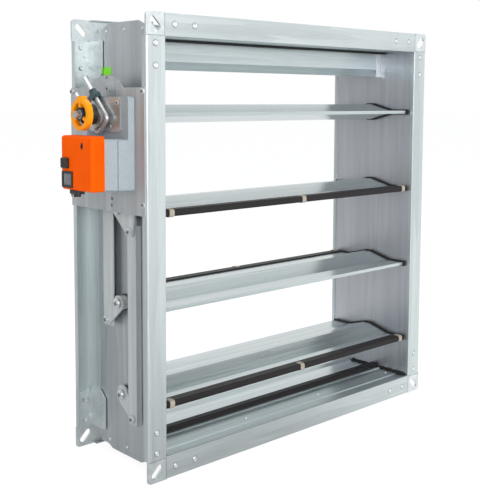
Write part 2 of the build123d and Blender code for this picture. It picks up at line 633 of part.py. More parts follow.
def actuator_base():
    """Die-cast housing: a drafted block, cut back beside the spindle, with a parting groove."""
    low, high = DRIVE_Z - BASE_BELOW, DRIVE_Z + BASE_ABOVE
    front, rear = MID_DEPTH - BASE_FRONT, MID_DEPTH + BASE_REAR
    foot = area([(front, low), (rear, low), (rear, high), (front, high)])
    cover_front, cover_rear = COVER_Y
    crown = area([(cover_front, low), (cover_rear, low), (cover_rear, high), (cover_front, high)])
    block = loft([Plane.YZ.offset(-BRACKET_FACE) * foot, Plane.YZ.offset(-BASE_FACE) * crown])
    cut_low = DRIVE_Z - BASE_STEP_BELOW
    cut = area([(0, cut_low), (CASING_DEPTH, cut_low), (CASING_DEPTH, high + 9), (0, high + 9)])
    block -= along_x(cut, -BASE_FACE - 1, -STEP_FACE)
    upright = block.edges().filter_by(lambda e: abs(e.tangent_at(0.5).X) > 0.8 and e.length > 5)
    block = fillet(upright, 3.0)
    seam_x = BRACKET_FACE + BASE_THICKNESS * 0.56
    belt = area([(0, low - 9), (CASING_DEPTH, low - 9), (CASING_DEPTH, cut_low - 1), (0, cut_low - 1)])
    share = 0.56
    groove_front = front + (cover_front - front) * share + SEAM_GROOVE
    groove_rear = rear + (cover_rear - rear) * share - SEAM_GROOVE
    core = area([
        (groove_front, low + SEAM_GROOVE), (groove_rear, low + SEAM_GROOVE),
        (groove_rear, cut_low - 1), (groove_front, cut_low - 1),
    ])
    block -= along_x(belt - core, -seam_x - 0.5, -seam_x + 0.5)
    return block - round_bar(BRACKET_BORE, MID_DEPTH, DRIVE_Z, -STEP_FACE, -BRACKET_FACE)


def button_place():
    return COVER_Y[1] - 12.0, COVER_Z[0] + 36.0


def window_place():
    return COVER_Y[1] - 16.5, COVER_Z[0] + 14.0


def actuator_cover():
    """Moulded cover with rounded edges, ribs on both sides and a recess for the release button."""
    width = COVER_Y[1] - COVER_Y[0]
    height = COVER_Z[1] - COVER_Z[0]
    centre_y, centre_z = sum(COVER_Y) / 2, sum(COVER_Z) / 2
    body = along_x(Pos(centre_y, centre_z) * Rectangle(width, height), -COVER_FACE, -BASE_FACE)
    outer = body.faces().sort_by(Axis.X)[0]
    uprights = body.edges().filter_by(Axis.X)
    body = fillet(uprights + outer.edges(), COVER_EDGE * 0.8)
    for i in range(RIB_COUNT):
        z = COVER_Z[1] - 12.0 - i * RIB_PITCH
        band = Pos(centre_y, z) * Rectangle(width + 2, RIB_PITCH * 0.4)
        keep = Pos(centre_y, z) * Rectangle(width - 2 * RIB_DEPTH, RIB_PITCH)
        body -= along_x(band - keep, -COVER_FACE + COVER_EDGE, -BASE_FACE - 2)
    body -= along_x(button_outline(BUTTON_FIT), -COVER_FACE - 1, -COVER_FACE + 6)
    key = Pos(COVER_Y[0] + 24.0, COVER_Z[1] - 13.0) * Rot(0, 0, 90) * SlotOverall(*KEY_SLOT)
    body -= along_x(key, -COVER_FACE - 1, -COVER_FACE + 6)
    window_y, window_z = window_place()
    play = 2 * BUTTON_FIT
    recess = Pos(window_y, window_z) * Rectangle(WINDOW_WIDTH + play, WINDOW_HEIGHT + play)
    return body - along_x(recess, -COVER_FACE - 1, -COVER_FACE + WINDOW_DEPTH)


WINDOW_WIDTH = 26.0
WINDOW_HEIGHT = 22.0
WINDOW_DEPTH = 3.0
WINDOW_PROUD = 1.2


def terminal_window():
    """Framed inspection window, let into the cover."""
    y, z = window_place()
    outline = Pos(y, z) * RectangleRounded(WINDOW_WIDTH, WINDOW_HEIGHT, 2.0)
    pane = Pos(y, z) * Rectangle(WINDOW_WIDTH - 6, WINDOW_HEIGHT - 6)
    body = along_x(outline, -COVER_FACE - WINDOW_PROUD, -COVER_FACE + WINDOW_DEPTH)
    return body - along_x(pane, -COVER_FACE - WINDOW_PROUD - 1, -COVER_FACE)


def button_outline(play=0.0):
    y, z = button_place()
    width, height = BUTTON_WIDTH + 2 * play, BUTTON_HEIGHT + 2 * play
    return Pos(y, z) * RectangleRounded(width, height, BUTTON_CORNER + play)


def release_button():
    """Push button that frees the gears."""
    inner = -COVER_FACE + 6 - BUTTON_TRAVEL - BUTTON_FIT
    button = along_x(button_outline(), -COVER_FACE - BUTTON_TRAVEL - 0.8, inner)
    rim = button.faces().sort_by(Axis.X)[0].edges()
    return fillet(rim, 0.8)


GLAND_FROM_REAR = 27.5
GLAND_BODY = 5.0
GLAND_NUT = 4.0


def cable_gland():
    """Gland under the cover's rear corner."""
    y, z = COVER_Y[1] - GLAND_FROM_REAR, COVER_Z[0]
    x = -COVER_FACE + 8.0
    body = Pos(x, y, z - GLAND_BODY / 2) * Box(13.0, 21.0, GLAND_BODY)
    body = fillet(body.edges().filter_by(Axis.Z), 3.0)
    nut = Pos(x, y, z - GLAND_BODY - GLAND_NUT / 2) * Cylinder(5.0, GLAND_NUT)
    bore_depth = GLAND_BODY + GLAND_NUT - 0.5
    return body + nut - Pos(x, y, z - GLAND_BODY - GLAND_NUT + bore_depth / 2) * Cylinder(3.0, bore_depth)


def faceplate():
    """Steel plate under the clamp; its countersunk screws lie flush."""
    outline = Pos(MID_DEPTH - FACEPLATE_SHIFT, DRIVE_Z) * RectangleRounded(
        FACEPLATE_WIDTH, FACEPLATE_HEIGHT, 4.0)
    return along_x(outline - disc(BRACKET_BORE, MID_DEPTH, DRIVE_Z), -PLATE_FACE, -STEP_FACE)


# ---------------------------------------------------------------- spindle clamp and indicator

def clamp_frame(x):
    """Plane facing -X at x whose local x runs along the clamp bolt's legs."""
    angle = math.radians(CLAMP_BOLT_ANGLE)
    return Plane(
        origin=(x, MID_DEPTH, DRIVE_Z), x_dir=(0, math.cos(angle), math.sin(angle)), z_dir=(1, 0, 0))


def spindle_hub():
    """Clamp ring with a notch for the jaw, stepped down to a sleeve."""
    ring = round_bar(CLAMP_RADIUS, MID_DEPTH, DRIVE_Z, -CLAMP_OUT, -CLAMP_IN)
    notch_from = SHAFT_RADIUS + HUB_FIT + JAW_HEIGHT
    middle = clamp_frame(-CLAMP_OUT)
    notch = Pos(notch_from + CLAMP_RADIUS / 2, 0) * Rectangle(CLAMP_RADIUS, 2 * CLAMP_RADIUS)
    ring -= extrude(middle * notch, amount=CLAMP_LENGTH)
    flat = CLAMP_BOLT_SPACING / 2 - CLAMP_BOLT_RADIUS - HUB_FIT
    for side in (-1, 1):
        beside = Pos(0, side * (flat + CLAMP_RADIUS / 2)) * Rectangle(3 * CLAMP_RADIUS, CLAMP_RADIUS)
        ring -= extrude(middle * beside, amount=CLAMP_LENGTH)
    return ring - round_bar(SHAFT_RADIUS + HUB_FIT, MID_DEPTH, DRIVE_Z, -CLAMP_OUT, -CLAMP_IN)


def sleeve():
    body = round_bar(SLEEVE_RADIUS, MID_DEPTH, DRIVE_Z, -SLEEVE_OUT, -CLAMP_OUT)
    return body - round_bar(SHAFT_RADIUS + HUB_FIT, MID_DEPTH, DRIVE_Z, -SLEEVE_OUT, -CLAMP_OUT)


def clamp_bolt():
    """U-shaped bolt round the ring: two legs and a bow, swept along one path."""
    middle = clamp_frame(-(CLAMP_IN + CLAMP_OUT) / 2)
    half = CLAMP_BOLT_SPACING / 2
    bend = 6.0
    back = CLAMP_RADIUS + CLAMP_BOLT_RADIUS + 0.5
    path = FilletPolyline(
        (CLAMP_BOLT_REACH, half), (-back, half), (-back, -half), (CLAMP_BOLT_REACH, -half), radius=bend)
    path = middle * path
    section = Plane(origin=path @ 0, z_dir=path % 0) * Circle(CLAMP_BOLT_RADIUS)
    return sweep(section, path=path)


def clamp_jaw():
    """Cross bar on the bolt's legs, pressed on the ring's flat by two nuts."""
    middle = clamp_frame(-CLAMP_OUT)
    start = SHAFT_RADIUS + HUB_FIT + JAW_HEIGHT
    bar = Pos(start + JAW_HEIGHT / 2, 0) * RectangleRounded(JAW_HEIGHT, CLAMP_BOLT_SPACING + 12.0, 2.5)
    jaw = extrude(middle * bar, amount=CLAMP_LENGTH)
    centre_x = -(CLAMP_IN + CLAMP_OUT) / 2
    pieces = []
    for side in (-1, 1):
        leg = Pos(start + JAW_HEIGHT, side * CLAMP_BOLT_SPACING / 2) * Rot(0, 90, 0)
        foot = clamp_frame(centre_x) * leg
        bore = foot * Pos(0, 0, 0) * Cylinder(CLAMP_BOLT_RADIUS + HUB_FIT, 6 * JAW_HEIGHT)
        jaw -= bore
        nut = extrude(foot * RegularPolygon(NUT_ACROSS / 2, 6, major_radius=False), amount=NUT_HEIGHT)
        pieces.append(nut - bore)
    return [jaw] + pieces


def indicator_ring():
    """Position indicator: rim, three spokes, hub and a pointer tab."""
    face = Circle(RING_RADIUS) - Circle(RING_INNER) + Circle(RING_HUB_RADIUS)
    for angle in (90, 210, 330):
        spoke = Pos((RING_INNER + RING_HUB_RADIUS) / 2, 0) * Rectangle(
            RING_INNER - RING_HUB_RADIUS + 3, SPOKE_WIDTH)
        face += Rot(0, 0, angle) * spoke
    face += Pos(0, RING_RADIUS + TAB_HEIGHT / 2 - 1) * Rectangle(TAB_WIDTH, TAB_HEIGHT + 2)
    face -= Circle(SHAFT_RADIUS + HUB_FIT)
    return along_x(Pos(MID_DEPTH, DRIVE_Z) * face, -RING_OUT, -SLEEVE_OUT)


# ---------------------------------------------------------------- rivets

def button_head(origin, direction):
    plane = Plane(origin=origin, z_dir=direction)
    return extrude(plane * Circle(RIVET_RADIUS), amount=RIVET_HEAD, taper=25)


def panel_rivets():
    """Rivets that hold the floor's and ceiling's turned ends to the side panels."""
    heads = []
    for side_x in (-1, 1):
        for side_z in (-1, 1):
            for y in (0.26, 0.5, 0.74):
                place = (side_x * PANEL_FACE, y * CASING_DEPTH, side_z * (HALF_HEIGHT + END_FLANGE * 0.6))
                heads.append(button_head(place, (side_x, 0, 0)))
    return heads


def stop_rivets():
    heads = []
    for share in (-0.94, -0.32, 0.28, 0.94):
        x = share * HALF_WIDTH
        heads.append(button_head((x, BOTTOM_STOP_FRONT + 14.0, -HALF_HEIGHT + STOP_SHEET), (0, 0, 1)))
    return heads


# ---------------------------------------------------------------- write the nodes

left_panel = side_panel()
save("side_panel_left", left_panel)
save("side_panel_right", mirrored_width(left_panel))
ceiling = ceiling_panel()
save("top_panel", ceiling)
save("bottom_panel", mirrored_height(ceiling))

drilled_rail = left_rail()
upright_length = DUCT_HEIGHT - 2 * (RAIL_SHEET + RAIL_GAP)
plain_rail = rail((1, 0, 0), (HALF_WIDTH, 0, 0), upright_length, CLINCH_STEPS_UPRIGHT)
top_rail = rail((0, 0, 1), (0, 0, HALF_HEIGHT), DUCT_WIDTH, CLINCH_STEPS_LEVEL)
front_rails = {
    "left": drilled_rail, "right": plain_rail, "top": top_rail, "bottom": mirrored_height(top_rail),
}
for name, piece in front_rails.items():
    save(f"front_rail_{name}", piece)
    save(f"back_rail_{name}", mirrored_depth(piece))

corner = corner_piece()
top_corners = [corner, mirrored_width(corner)]
front_corners = top_corners + [mirrored_height(piece) for piece in top_corners]
save("front_corners", *front_corners)
save("back_corners", *[mirrored_depth(piece) for piece in front_corners])
save("rivets", *panel_rivets(), *stop_rivets())

save("top_blade_stop", top_stop())
save("bottom_blade_stop", bottom_stop())
save("bottom_stop_seal", bottom_seal())

bushes = [shaft_bush(z) for z in AXES]
save("shaft_bushes", *bushes, *[mirrored_width(bush) for bush in bushes])

shaft_reach = [SHAFT_OUT, SECTOR_OUT, SECTOR_OUT, LEVER_OUT]
for index, (axis_z, side) in enumerate(zip(AXES, SEAL_SIDE)):
    name = f"blade_{index + 1}"
    cap = end_cap(axis_z)
    save(name, *blade_skins(axis_z))
    save(f"{name}_seal", blade_seal(axis_z, side))
    save(f"{name}_clips", *blade_clips(axis_z, side))
    save(f"{name}_end_caps", cap, mirrored_width(cap))
    save(f"{name}_shafts", *stub_shafts(axis_z, shaft_reach[index]))
    save(f"{name}_lever", *lever(index))

front_leg_top = pin_place(1)[1] + BAR_END
front_top = coupler_height() + COUPLER_HEIGHT / 2
rear_top = pin_place(0)[1] + BAR_END
save("link_bar_front", link_bar(1, 3, FRONT_BAR_WIDTH, front_top, front_leg_top))
save("link_bar_rear", link_bar(0, 2, REAR_BAR_WIDTH, rear_top, rear_top), coupler_pin())
save("bar_coupler", *coupler())

save("actuator_bracket", bracket())
save("bracket_screws", *bracket_screws())
save("actuator_base", actuator_base())
save("actuator_cover", actuator_cover())
save("terminal_window", terminal_window())
save("release_button", release_button())
save("cable_gland", cable_gland())
save("clamp_faceplate", faceplate())

save("spindle_clamp", spindle_hub())
save("clamp_sleeve", sleeve())
save("clamp_bolt", clamp_bolt())
save("clamp_jaw", *clamp_jaw())
save("indicator_ring", indicator_ring())
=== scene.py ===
import bpy
import bmesh
import math
import random
from mathutils import Matrix, Vector


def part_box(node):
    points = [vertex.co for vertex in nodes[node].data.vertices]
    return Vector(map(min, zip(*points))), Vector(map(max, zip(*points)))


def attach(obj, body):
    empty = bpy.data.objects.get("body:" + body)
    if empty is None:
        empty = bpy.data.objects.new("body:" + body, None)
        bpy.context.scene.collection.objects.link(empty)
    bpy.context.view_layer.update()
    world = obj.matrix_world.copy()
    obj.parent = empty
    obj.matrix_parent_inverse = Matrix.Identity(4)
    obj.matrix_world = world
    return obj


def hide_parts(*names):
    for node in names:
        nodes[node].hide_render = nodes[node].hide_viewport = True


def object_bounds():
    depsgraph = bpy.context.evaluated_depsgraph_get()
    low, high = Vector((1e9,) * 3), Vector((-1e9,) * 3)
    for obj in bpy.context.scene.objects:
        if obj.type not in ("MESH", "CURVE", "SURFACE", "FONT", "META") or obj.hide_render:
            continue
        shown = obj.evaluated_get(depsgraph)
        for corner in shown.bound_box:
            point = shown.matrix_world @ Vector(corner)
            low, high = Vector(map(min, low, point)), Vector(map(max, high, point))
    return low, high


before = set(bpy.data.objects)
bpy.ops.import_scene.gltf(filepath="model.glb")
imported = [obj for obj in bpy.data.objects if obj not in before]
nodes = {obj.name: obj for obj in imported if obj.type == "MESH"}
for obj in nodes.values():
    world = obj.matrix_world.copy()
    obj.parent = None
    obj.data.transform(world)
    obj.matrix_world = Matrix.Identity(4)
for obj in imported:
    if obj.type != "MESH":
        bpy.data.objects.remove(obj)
cad_box = [list(corner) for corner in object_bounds()]

# ------------------------------------------------------------------ studio
# The damper stands on a pale floor in soft light, as for a catalogue: one broad
# window of light in front, one overhead, a weaker one on the drive side, white all round.

bpy.context.scene.view_settings.view_transform = "Standard"
backdrop_direction = (0.80, 0.30, 0.35)


def see_as_white(tree, shade_socket, white_socket):
    """Mix that shows the white to the camera, to reflections and to glass, and the shade to the rest."""
    path = tree.nodes.new("ShaderNodeLightPath")
    mix = tree.nodes.new("ShaderNodeMixShader")
    seen = path.outputs["Is Camera Ray"]
    for ray in ("Is Glossy Ray", "Is Transmission Ray"):
        either = tree.nodes.new("ShaderNodeMath")
        either.operation = "MAXIMUM"
        tree.links.new(seen, either.inputs[0])
        tree.links.new(path.outputs[ray], either.inputs[1])
        seen = either.outputs[0]
    tree.links.new(seen, mix.inputs[0])
    tree.links.new(shade_socket, mix.inputs[1])
    tree.links.new(white_socket, mix.inputs[2])
    return mix.outputs[0]


def backdrop_strength(tree, direction, dim, bright):
    """White towards the backdrop behind the damper; reflections find the room dimmer elsewhere."""
    towards = tree.nodes.new("ShaderNodeVectorMath")
    towards.operation = "DOT_PRODUCT"
    towards.inputs[1].default_value = backdrop_direction
    tree.links.new(direction, towards.inputs[0])
    fall = tree.nodes.new("ShaderNodeMapRange")
    fall.interpolation_type = "SMOOTHSTEP"
    fall.inputs["From Min"].default_value = -0.75
    fall.inputs["From Max"].default_value = 0.55
    fall.inputs["To Min"].default_value = dim
    fall.inputs["To Max"].default_value = bright
    tree.links.new(towards.outputs["Value"], fall.inputs["Value"])
    path = tree.nodes.new("ShaderNodeLightPath")
    full = tree.nodes.new("ShaderNodeMix")
    tree.links.new(path.outputs["Is Camera Ray"], full.inputs["Factor"])
    tree.links.new(fall.outputs[0], full.inputs["A"])
    full.inputs["B"].default_value = bright
    return full.outputs["Result"]


def colour_ramp(tree, low, dark, high, light):
    """Ramp from the dark colour at low to the light one at high."""
    ramp = tree.nodes.new("ShaderNodeValToRGB")
    for stop, position, colour in zip(ramp.color_ramp.elements, (low, high), (dark, light)):
        stop.position = position
        stop.color = (*colour, 1)
    return ramp


world = bpy.data.worlds.new("studio")
bpy.context.scene.world = world
world.use_nodes = True
tree = world.node_tree
tree.nodes.clear()
sky_direction = tree.nodes.new("ShaderNodeTexCoord")
sky_parts = tree.nodes.new("ShaderNodeSeparateXYZ")
sky_ramp = colour_ramp(tree, 0.30, (0.50, 0.51, 0.52), 0.85, (0.92, 0.95, 0.97))
sky_lift = tree.nodes.new("ShaderNodeMath")
sky_lift.operation = "MULTIPLY_ADD"
sky_lift.inputs[1].default_value = 0.5
sky_lift.inputs[2].default_value = 0.5
sky_shade = tree.nodes.new("ShaderNodeBackground")
sky_shade.inputs["Strength"].default_value = 0.62
sky_white = tree.nodes.new("ShaderNodeBackground")
sky_white.inputs["Color"].default_value = (1, 1, 1, 1)
sky_strength = backdrop_strength(tree, sky_direction.outputs["Generated"], 0.42, 1.0)
tree.links.new(sky_strength, sky_white.inputs["Strength"])
tree.links.new(sky_direction.outputs["Generated"], sky_parts.inputs[0])
tree.links.new(sky_parts.outputs["Z"], sky_lift.inputs[0])
tree.links.new(sky_lift.outputs[0], sky_ramp.inputs[0])
tree.links.new(sky_ramp.outputs[0], sky_shade.inputs["Color"])
world_out = tree.nodes.new("ShaderNodeOutputWorld")
tree.links.new(see_as_white(tree, sky_shade.outputs[0], sky_white.outputs[0]), world_out.inputs[0])

floor_mesh = bpy.data.meshes.new("studio_floor")
floor_half = 30.0
floor_z = cad_box[0][2]
floor_mesh.from_pydata(
    [(-floor_half, -floor_half, floor_z), (floor_half, -floor_half, floor_z),
     (floor_half, floor_half, floor_z), (-floor_half, floor_half, floor_z)], [], [(0, 1, 2, 3)])
floor = bpy.data.objects.new("studio_floor", floor_mesh)
bpy.context.scene.collection.objects.link(floor)
floor_paint = bpy.data.materials.new("floor_paint")
floor_paint.use_nodes = True
tree = floor_paint.node_tree
tree.nodes.clear()
floor_matt = tree.nodes.new("ShaderNodeBsdfDiffuse")
floor_matt.inputs["Color"].default_value = (0.80, 0.80, 0.80, 1)
floor_glow = tree.nodes.new("ShaderNodeEmission")
floor_glow.inputs["Color"].default_value = (1, 1, 1, 1)
floor_place = tree.nodes.new("ShaderNodeTexCoord")
floor_direction = tree.nodes.new("ShaderNodeVectorMath")
floor_direction.operation = "NORMALIZE"
tree.links.new(floor_place.outputs["Object"], floor_direction.inputs[0])
glow_strength = backdrop_strength(tree, floor_direction.outputs["Vector"], 0.40, 1.13)
tree.links.new(glow_strength, floor_glow.inputs["Strength"])
floor_blend = tree.nodes.new("ShaderNodeMixShader")
floor_blend.inputs[0].default_value = 0.80
tree.links.new(floor_matt.outputs[0], floor_blend.inputs[1])
tree.links.new(floor_glow.outputs[0], floor_blend.inputs[2])
floor_out = tree.nodes.new("ShaderNodeOutputMaterial")
tree.links.new(see_as_white(tree, floor_matt.outputs[0], floor_blend.outputs[0]), floor_out.inputs[0])
floor_mesh.materials.append(floor_paint)


def soft_box(name, place, target, width, height, power):
    """Wide lamp at a place, turned to its target."""
    lamp = bpy.data.lights.new(name, "AREA")
    lamp.shape = "RECTANGLE"
    lamp.size = width
    lamp.size_y = height
    lamp.energy = power
    lamp_object = bpy.data.objects.new(name, lamp)
    lamp_object.location = place
    lamp_object.rotation_euler = (Vector(target) - Vector(place)).to_track_quat("-Z", "Y").to_euler()
    bpy.context.scene.collection.objects.link(lamp_object)


soft_box("front_window", (-0.4, -2.7, 0.35), (0.0, 0.0, 0.0), 2.4, 1.8, 43)
soft_box("drive_side_window", (-2.5, -1.5, 0.9), (-0.3, 0.0, 0.0), 1.1, 1.5, 26)
soft_box("overhead_window", (0.1, 0.5, 2.4), (0.0, 0.1, 0.0), 2.0, 1.4, 30)

camera_place = (-0.9909, -0.9322, 0.2025)
camera_pan, camera_tilt, camera_roll = -42.54, -5.07, 0.23
camera_data = bpy.data.cameras.new("camera")
camera_data.sensor_fit = "HORIZONTAL"
camera_data.sensor_width = 36.0
camera_data.lens = 66.83
camera_data.shift_y = -0.15
camera_data.clip_start = 0.05
camera_data.clip_end = 100.0
camera = bpy.data.objects.new("camera", camera_data)
camera_turn = Matrix.Rotation(math.radians(camera_pan), 4, "Z")
camera_turn = camera_turn @ Matrix.Rotation(math.radians(90.0 + camera_tilt), 4, "X")
camera_turn = camera_turn @ Matrix.Rotation(math.radians(camera_roll), 4, "Z")
camera.matrix_world = Matrix.Translation(camera_place) @ camera_turn
bpy.context.scene.collection.objects.link(camera)
bpy.context.scene.camera = camera

# ------------------------------------------------------------------ casing sheet
# Walls, floor, ceiling and blade stops: zinc-coated steel sheet, sheared and folded,
# with faint crystals in the zinc and the fine lines that the rolling leaves.

upright_grain, level_grain, even_grain = (1.0, 1.0, 0.04), (0.04, 1.0, 1.0), (1.0, 1.0, 1.0)
crystal_share, line_share, cloud_share, roughness_swing = 0.26, 0.34, 0.34, 0.14


def socket(group, name, side, kind, value=None):
    """Named input or output of a node group."""
    made = group.interface.new_socket(name=name, in_out=side, socket_type=kind)
    if value is not None:
        made.default_value = value
    return made


def zinc_group():
    """Zinc coating: crystals, rolling lines and clouding, put out as a tone, a roughness and a height."""
    group = bpy.data.node_groups.new("zinc_coating", "ShaderNodeTree")
    socket(group, "Position", "INPUT", "NodeSocketVector")
    socket(group, "Crystal Scale", "INPUT", "NodeSocketFloat", 110.0)
    socket(group, "Line Scale", "INPUT", "NodeSocketFloat", 700.0)
    socket(group, "Streak Scale", "INPUT", "NodeSocketFloat", 110.0)
    socket(group, "Roughness", "INPUT", "NodeSocketFloat", 0.35)
    socket(group, "Tone", "OUTPUT", "NodeSocketFloat")
    socket(group, "Roughness", "OUTPUT", "NodeSocketFloat")
    socket(group, "Height", "OUTPUT", "NodeSocketFloat")
    new, link = group.nodes.new, group.links.new
    into, out = new("NodeGroupInput"), new("NodeGroupOutput")
    crystals = new("ShaderNodeTexVoronoi")
    link(into.outputs["Position"], crystals.inputs["Vector"])
    link(into.outputs["Crystal Scale"], crystals.inputs["Scale"])
    lines = new("ShaderNodeTexNoise")
    lines.inputs["Detail"].default_value = 3.0
    link(into.outputs["Position"], lines.inputs["Vector"])
    link(into.outputs["Line Scale"], lines.inputs["Scale"])
    clouds = new("ShaderNodeTexNoise")
    clouds.inputs["Detail"].default_value = 2.0
    link(into.outputs["Streak Scale"], clouds.inputs["Scale"])
    link(into.outputs["Position"], clouds.inputs["Vector"])
    crystal_tone = new("ShaderNodeSeparateColor")
    link(crystals.outputs["Color"], crystal_tone.inputs[0])
    crystals_and_lines = new("ShaderNodeMath")
    crystals_and_lines.operation = "MULTIPLY_ADD"
    crystals_and_lines.inputs[1].default_value = crystal_share
    link(crystal_tone.outputs[0], crystals_and_lines.inputs[0])
    faint_lines = new("ShaderNodeMath")
    faint_lines.operation = "MULTIPLY"
    faint_lines.inputs[1].default_value = line_share
    link(lines.outputs["Fac"], faint_lines.inputs[0])
    link(faint_lines.outputs[0], crystals_and_lines.inputs[2])
    tone = new("ShaderNodeMath")
    tone.operation = "MULTIPLY_ADD"
    tone.inputs[1].default_value = cloud_share
    link(clouds.outputs["Fac"], tone.inputs[0])
    link(crystals_and_lines.outputs[0], tone.inputs[2])
    link(tone.outputs[0], out.inputs["Tone"])
    spread = new("ShaderNodeMath")
    spread.operation = "MULTIPLY_ADD"
    spread.inputs[1].default_value = roughness_swing
    link(tone.outputs[0], spread.inputs[0])
    link(into.outputs["Roughness"], spread.inputs[2])
    link(spread.outputs[0], out.inputs["Roughness"])
    link(lines.outputs["Fac"], out.inputs["Height"])
    return group


zinc_coating = zinc_group()


def zinc_sheet(name, dark, light, roughness, grain, crystal_scale=110.0, bump=0.00004, metallic=0.82):
    """Zinc-coated steel; grain stretches the rolling lines along the axis with the small factor."""
    paint = bpy.data.materials.new(name)
    paint.use_nodes = True
    tree = paint.node_tree
    new, link = tree.nodes.new, tree.links.new
    shader = tree.nodes["Principled BSDF"]
    shader.inputs["Metallic"].default_value = metallic
    where = new("ShaderNodeTexCoord")
    stretch = new("ShaderNodeMapping")
    stretch.inputs["Scale"].default_value = grain
    link(where.outputs["Object"], stretch.inputs["Vector"])
    coat = new("ShaderNodeGroup")
    coat.node_tree = zinc_coating
    coat.inputs["Crystal Scale"].default_value = crystal_scale
    coat.inputs["Roughness"].default_value = roughness
    link(stretch.outputs[0], coat.inputs["Position"])
    ramp = colour_ramp(tree, 0.20, dark, 0.72, light)
    link(coat.outputs["Tone"], ramp.inputs[0])
    link(ramp.outputs[0], shader.inputs["Base Color"])
    link(coat.outputs["Roughness"], shader.inputs["Roughness"])
    relief = new("ShaderNodeBump")
    relief.inputs["Strength"].default_value = 0.5
    relief.inputs["Distance"].default_value = bump
    link(coat.outputs["Height"], relief.inputs["Height"])
    link(relief.outputs[0], shader.inputs["Normal"])
    return paint


def finish_node(name, paint):
    """Gives a carried-over solid its material."""
    mesh = nodes[name].data
    mesh.materials.clear()
    mesh.materials.append(paint)


drive_wall_sheet = zinc_sheet(
    "drive_wall_sheet", (0.44, 0.475, 0.495), (0.62, 0.66, 0.68), 0.34, upright_grain)
far_wall_sheet = zinc_sheet("far_wall_sheet", (0.50, 0.52, 0.565), (0.63, 0.65, 0.695), 0.30, upright_grain)
bracket_sheet = zinc_sheet("bracket_sheet", (0.42, 0.44, 0.455), (0.60, 0.625, 0.64), 0.30, upright_grain)
level_sheet = zinc_sheet("level_sheet", (0.48, 0.55, 0.57), (0.74, 0.81, 0.82), 0.24, level_grain)
finish_node("side_panel_left", drive_wall_sheet)
finish_node("side_panel_right", far_wall_sheet)
finish_node("actuator_bracket", bracket_sheet)
for name in ("top_panel", "bottom_panel", "top_blade_stop", "bottom_blade_stop"):
    finish_node(name, level_sheet)

# ------------------------------------------------------------------ ceiling shade strip
# Black strip under the ceiling, close in front of the top stop: painted shade, a dark sheet
# put in for the shade between the top rail and the stop. It is ribbed along its length and a little softer
# than the seals.

MM = 0.001
# Black sealant; the same black is used for the ceiling strip, where it is painted shade.
sealant_black_and_painted_shade = bpy.data.materials.new("sealant_black_and_painted_shade")
sealant_black_and_painted_shade.use_nodes = True
tree = sealant_black_and_painted_shade.node_tree
black_place = tree.nodes.new("ShaderNodeTexCoord")
black_cells = tree.nodes.new("ShaderNodeTexVoronoi")
black_cells.inputs["Scale"].default_value = 900.0
black_tone = colour_ramp(tree, 0.0, (0.008, 0.008, 0.009), 1.0, (0.022, 0.022, 0.023))
black_relief = tree.nodes.new("ShaderNodeBump")
black_relief.inputs["Distance"].default_value = 0.0001
black_shader = tree.nodes["Principled BSDF"]
black_shader.inputs["Roughness"].default_value = 0.75
tree.links.new(black_place.outputs["Object"], black_cells.inputs["Vector"])
tree.links.new(black_cells.outputs["Distance"], black_tone.inputs[0])
tree.links.new(black_tone.outputs[0], black_shader.inputs["Base Color"])
tree.links.new(black_cells.outputs["Distance"], black_relief.inputs["Height"])
tree.links.new(black_relief.outputs[0], black_shader.inputs["Normal"])

wall_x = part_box("side_panel_right")[0][0]
ceiling_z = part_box("top_panel")[0][2]
stop_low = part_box("top_blade_stop")[0]


def solid_piece(name, build, paint, body, smooth=True):
    """Makes one piece of the shapes that build draws, in its finish, on the body that carries it."""
    drawn = bmesh.new()
    build(drawn)
    bmesh.ops.recalc_face_normals(drawn, faces=drawn.faces)
    mesh = bpy.data.meshes.new(name)
    drawn.to_mesh(mesh)
    drawn.free()
    for finish in (paint if isinstance(paint, tuple) else (paint,)):
        mesh.materials.append(finish)
    if smooth:
        mesh.shade_smooth()
        mesh.set_sharp_from_angle(angle=math.radians(35.0))
    piece = bpy.data.objects.new(name, mesh)
    bpy.context.scene.collection.objects.link(piece)
    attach(piece, body)
    return piece


def rows_of_faces(drawn, rows, closed):
    """Joins rows of corners, each as long as the next, into a skin."""
    for first, second in zip(rows, rows[1:]):
        count = len(first)
        for i in range(count if closed else count - 1):
            j = (i + 1) % count
            drawn.faces.new((first[i], first[j], second[j], second[i]))


def capped_skin(drawn, rows):
    """Skin over closed rows, with a face over each end."""
    rows_of_faces(drawn, rows, True)
    drawn.faces.new(rows[0])
    drawn.faces.new(rows[-1])


def ceiling_shade_strip(drawn):
    width, thickness, rib, ribs = 14.0 * MM, 2.4 * MM, 0.5 * MM, 9
    strip_back = stop_low[1] - 1.5 * MM
    strip_front = strip_back - width
    end_gap, glue = 0.3 * MM, 0.05 * MM
    outline = [(strip_front, ceiling_z - glue)]
    for i in range(2 * ribs + 1):
        share = i / (2 * ribs)
        depth = thickness + (rib if i % 2 else 0.0)
        outline.append((strip_front + (strip_back - strip_front) * share, ceiling_z - depth))
    outline.append((strip_back, ceiling_z - glue))
    capped_skin(drawn, [
        [drawn.verts.new((x, y, z)) for y, z in outline] for x in (end_gap - wall_x, wall_x - end_gap)
    ])


# Painted shade: a black strip under the ceiling where the shade lies.
solid_piece("ceiling_painted_shade", ceiling_shade_strip, sealant_black_and_painted_shade, "casing", smooth=False)

# ------------------------------------------------------------------ sealant
# Bead of black sealant run by hand along the foot of both side walls, from the
# front flange to the bottom stop's seal; its width wanders a little.

sealant_from, sealant_to = 4.0 * MM, 127.0 * MM
sealant_width = 5.4 * MM
floor_top_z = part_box("bottom_panel")[1][2]


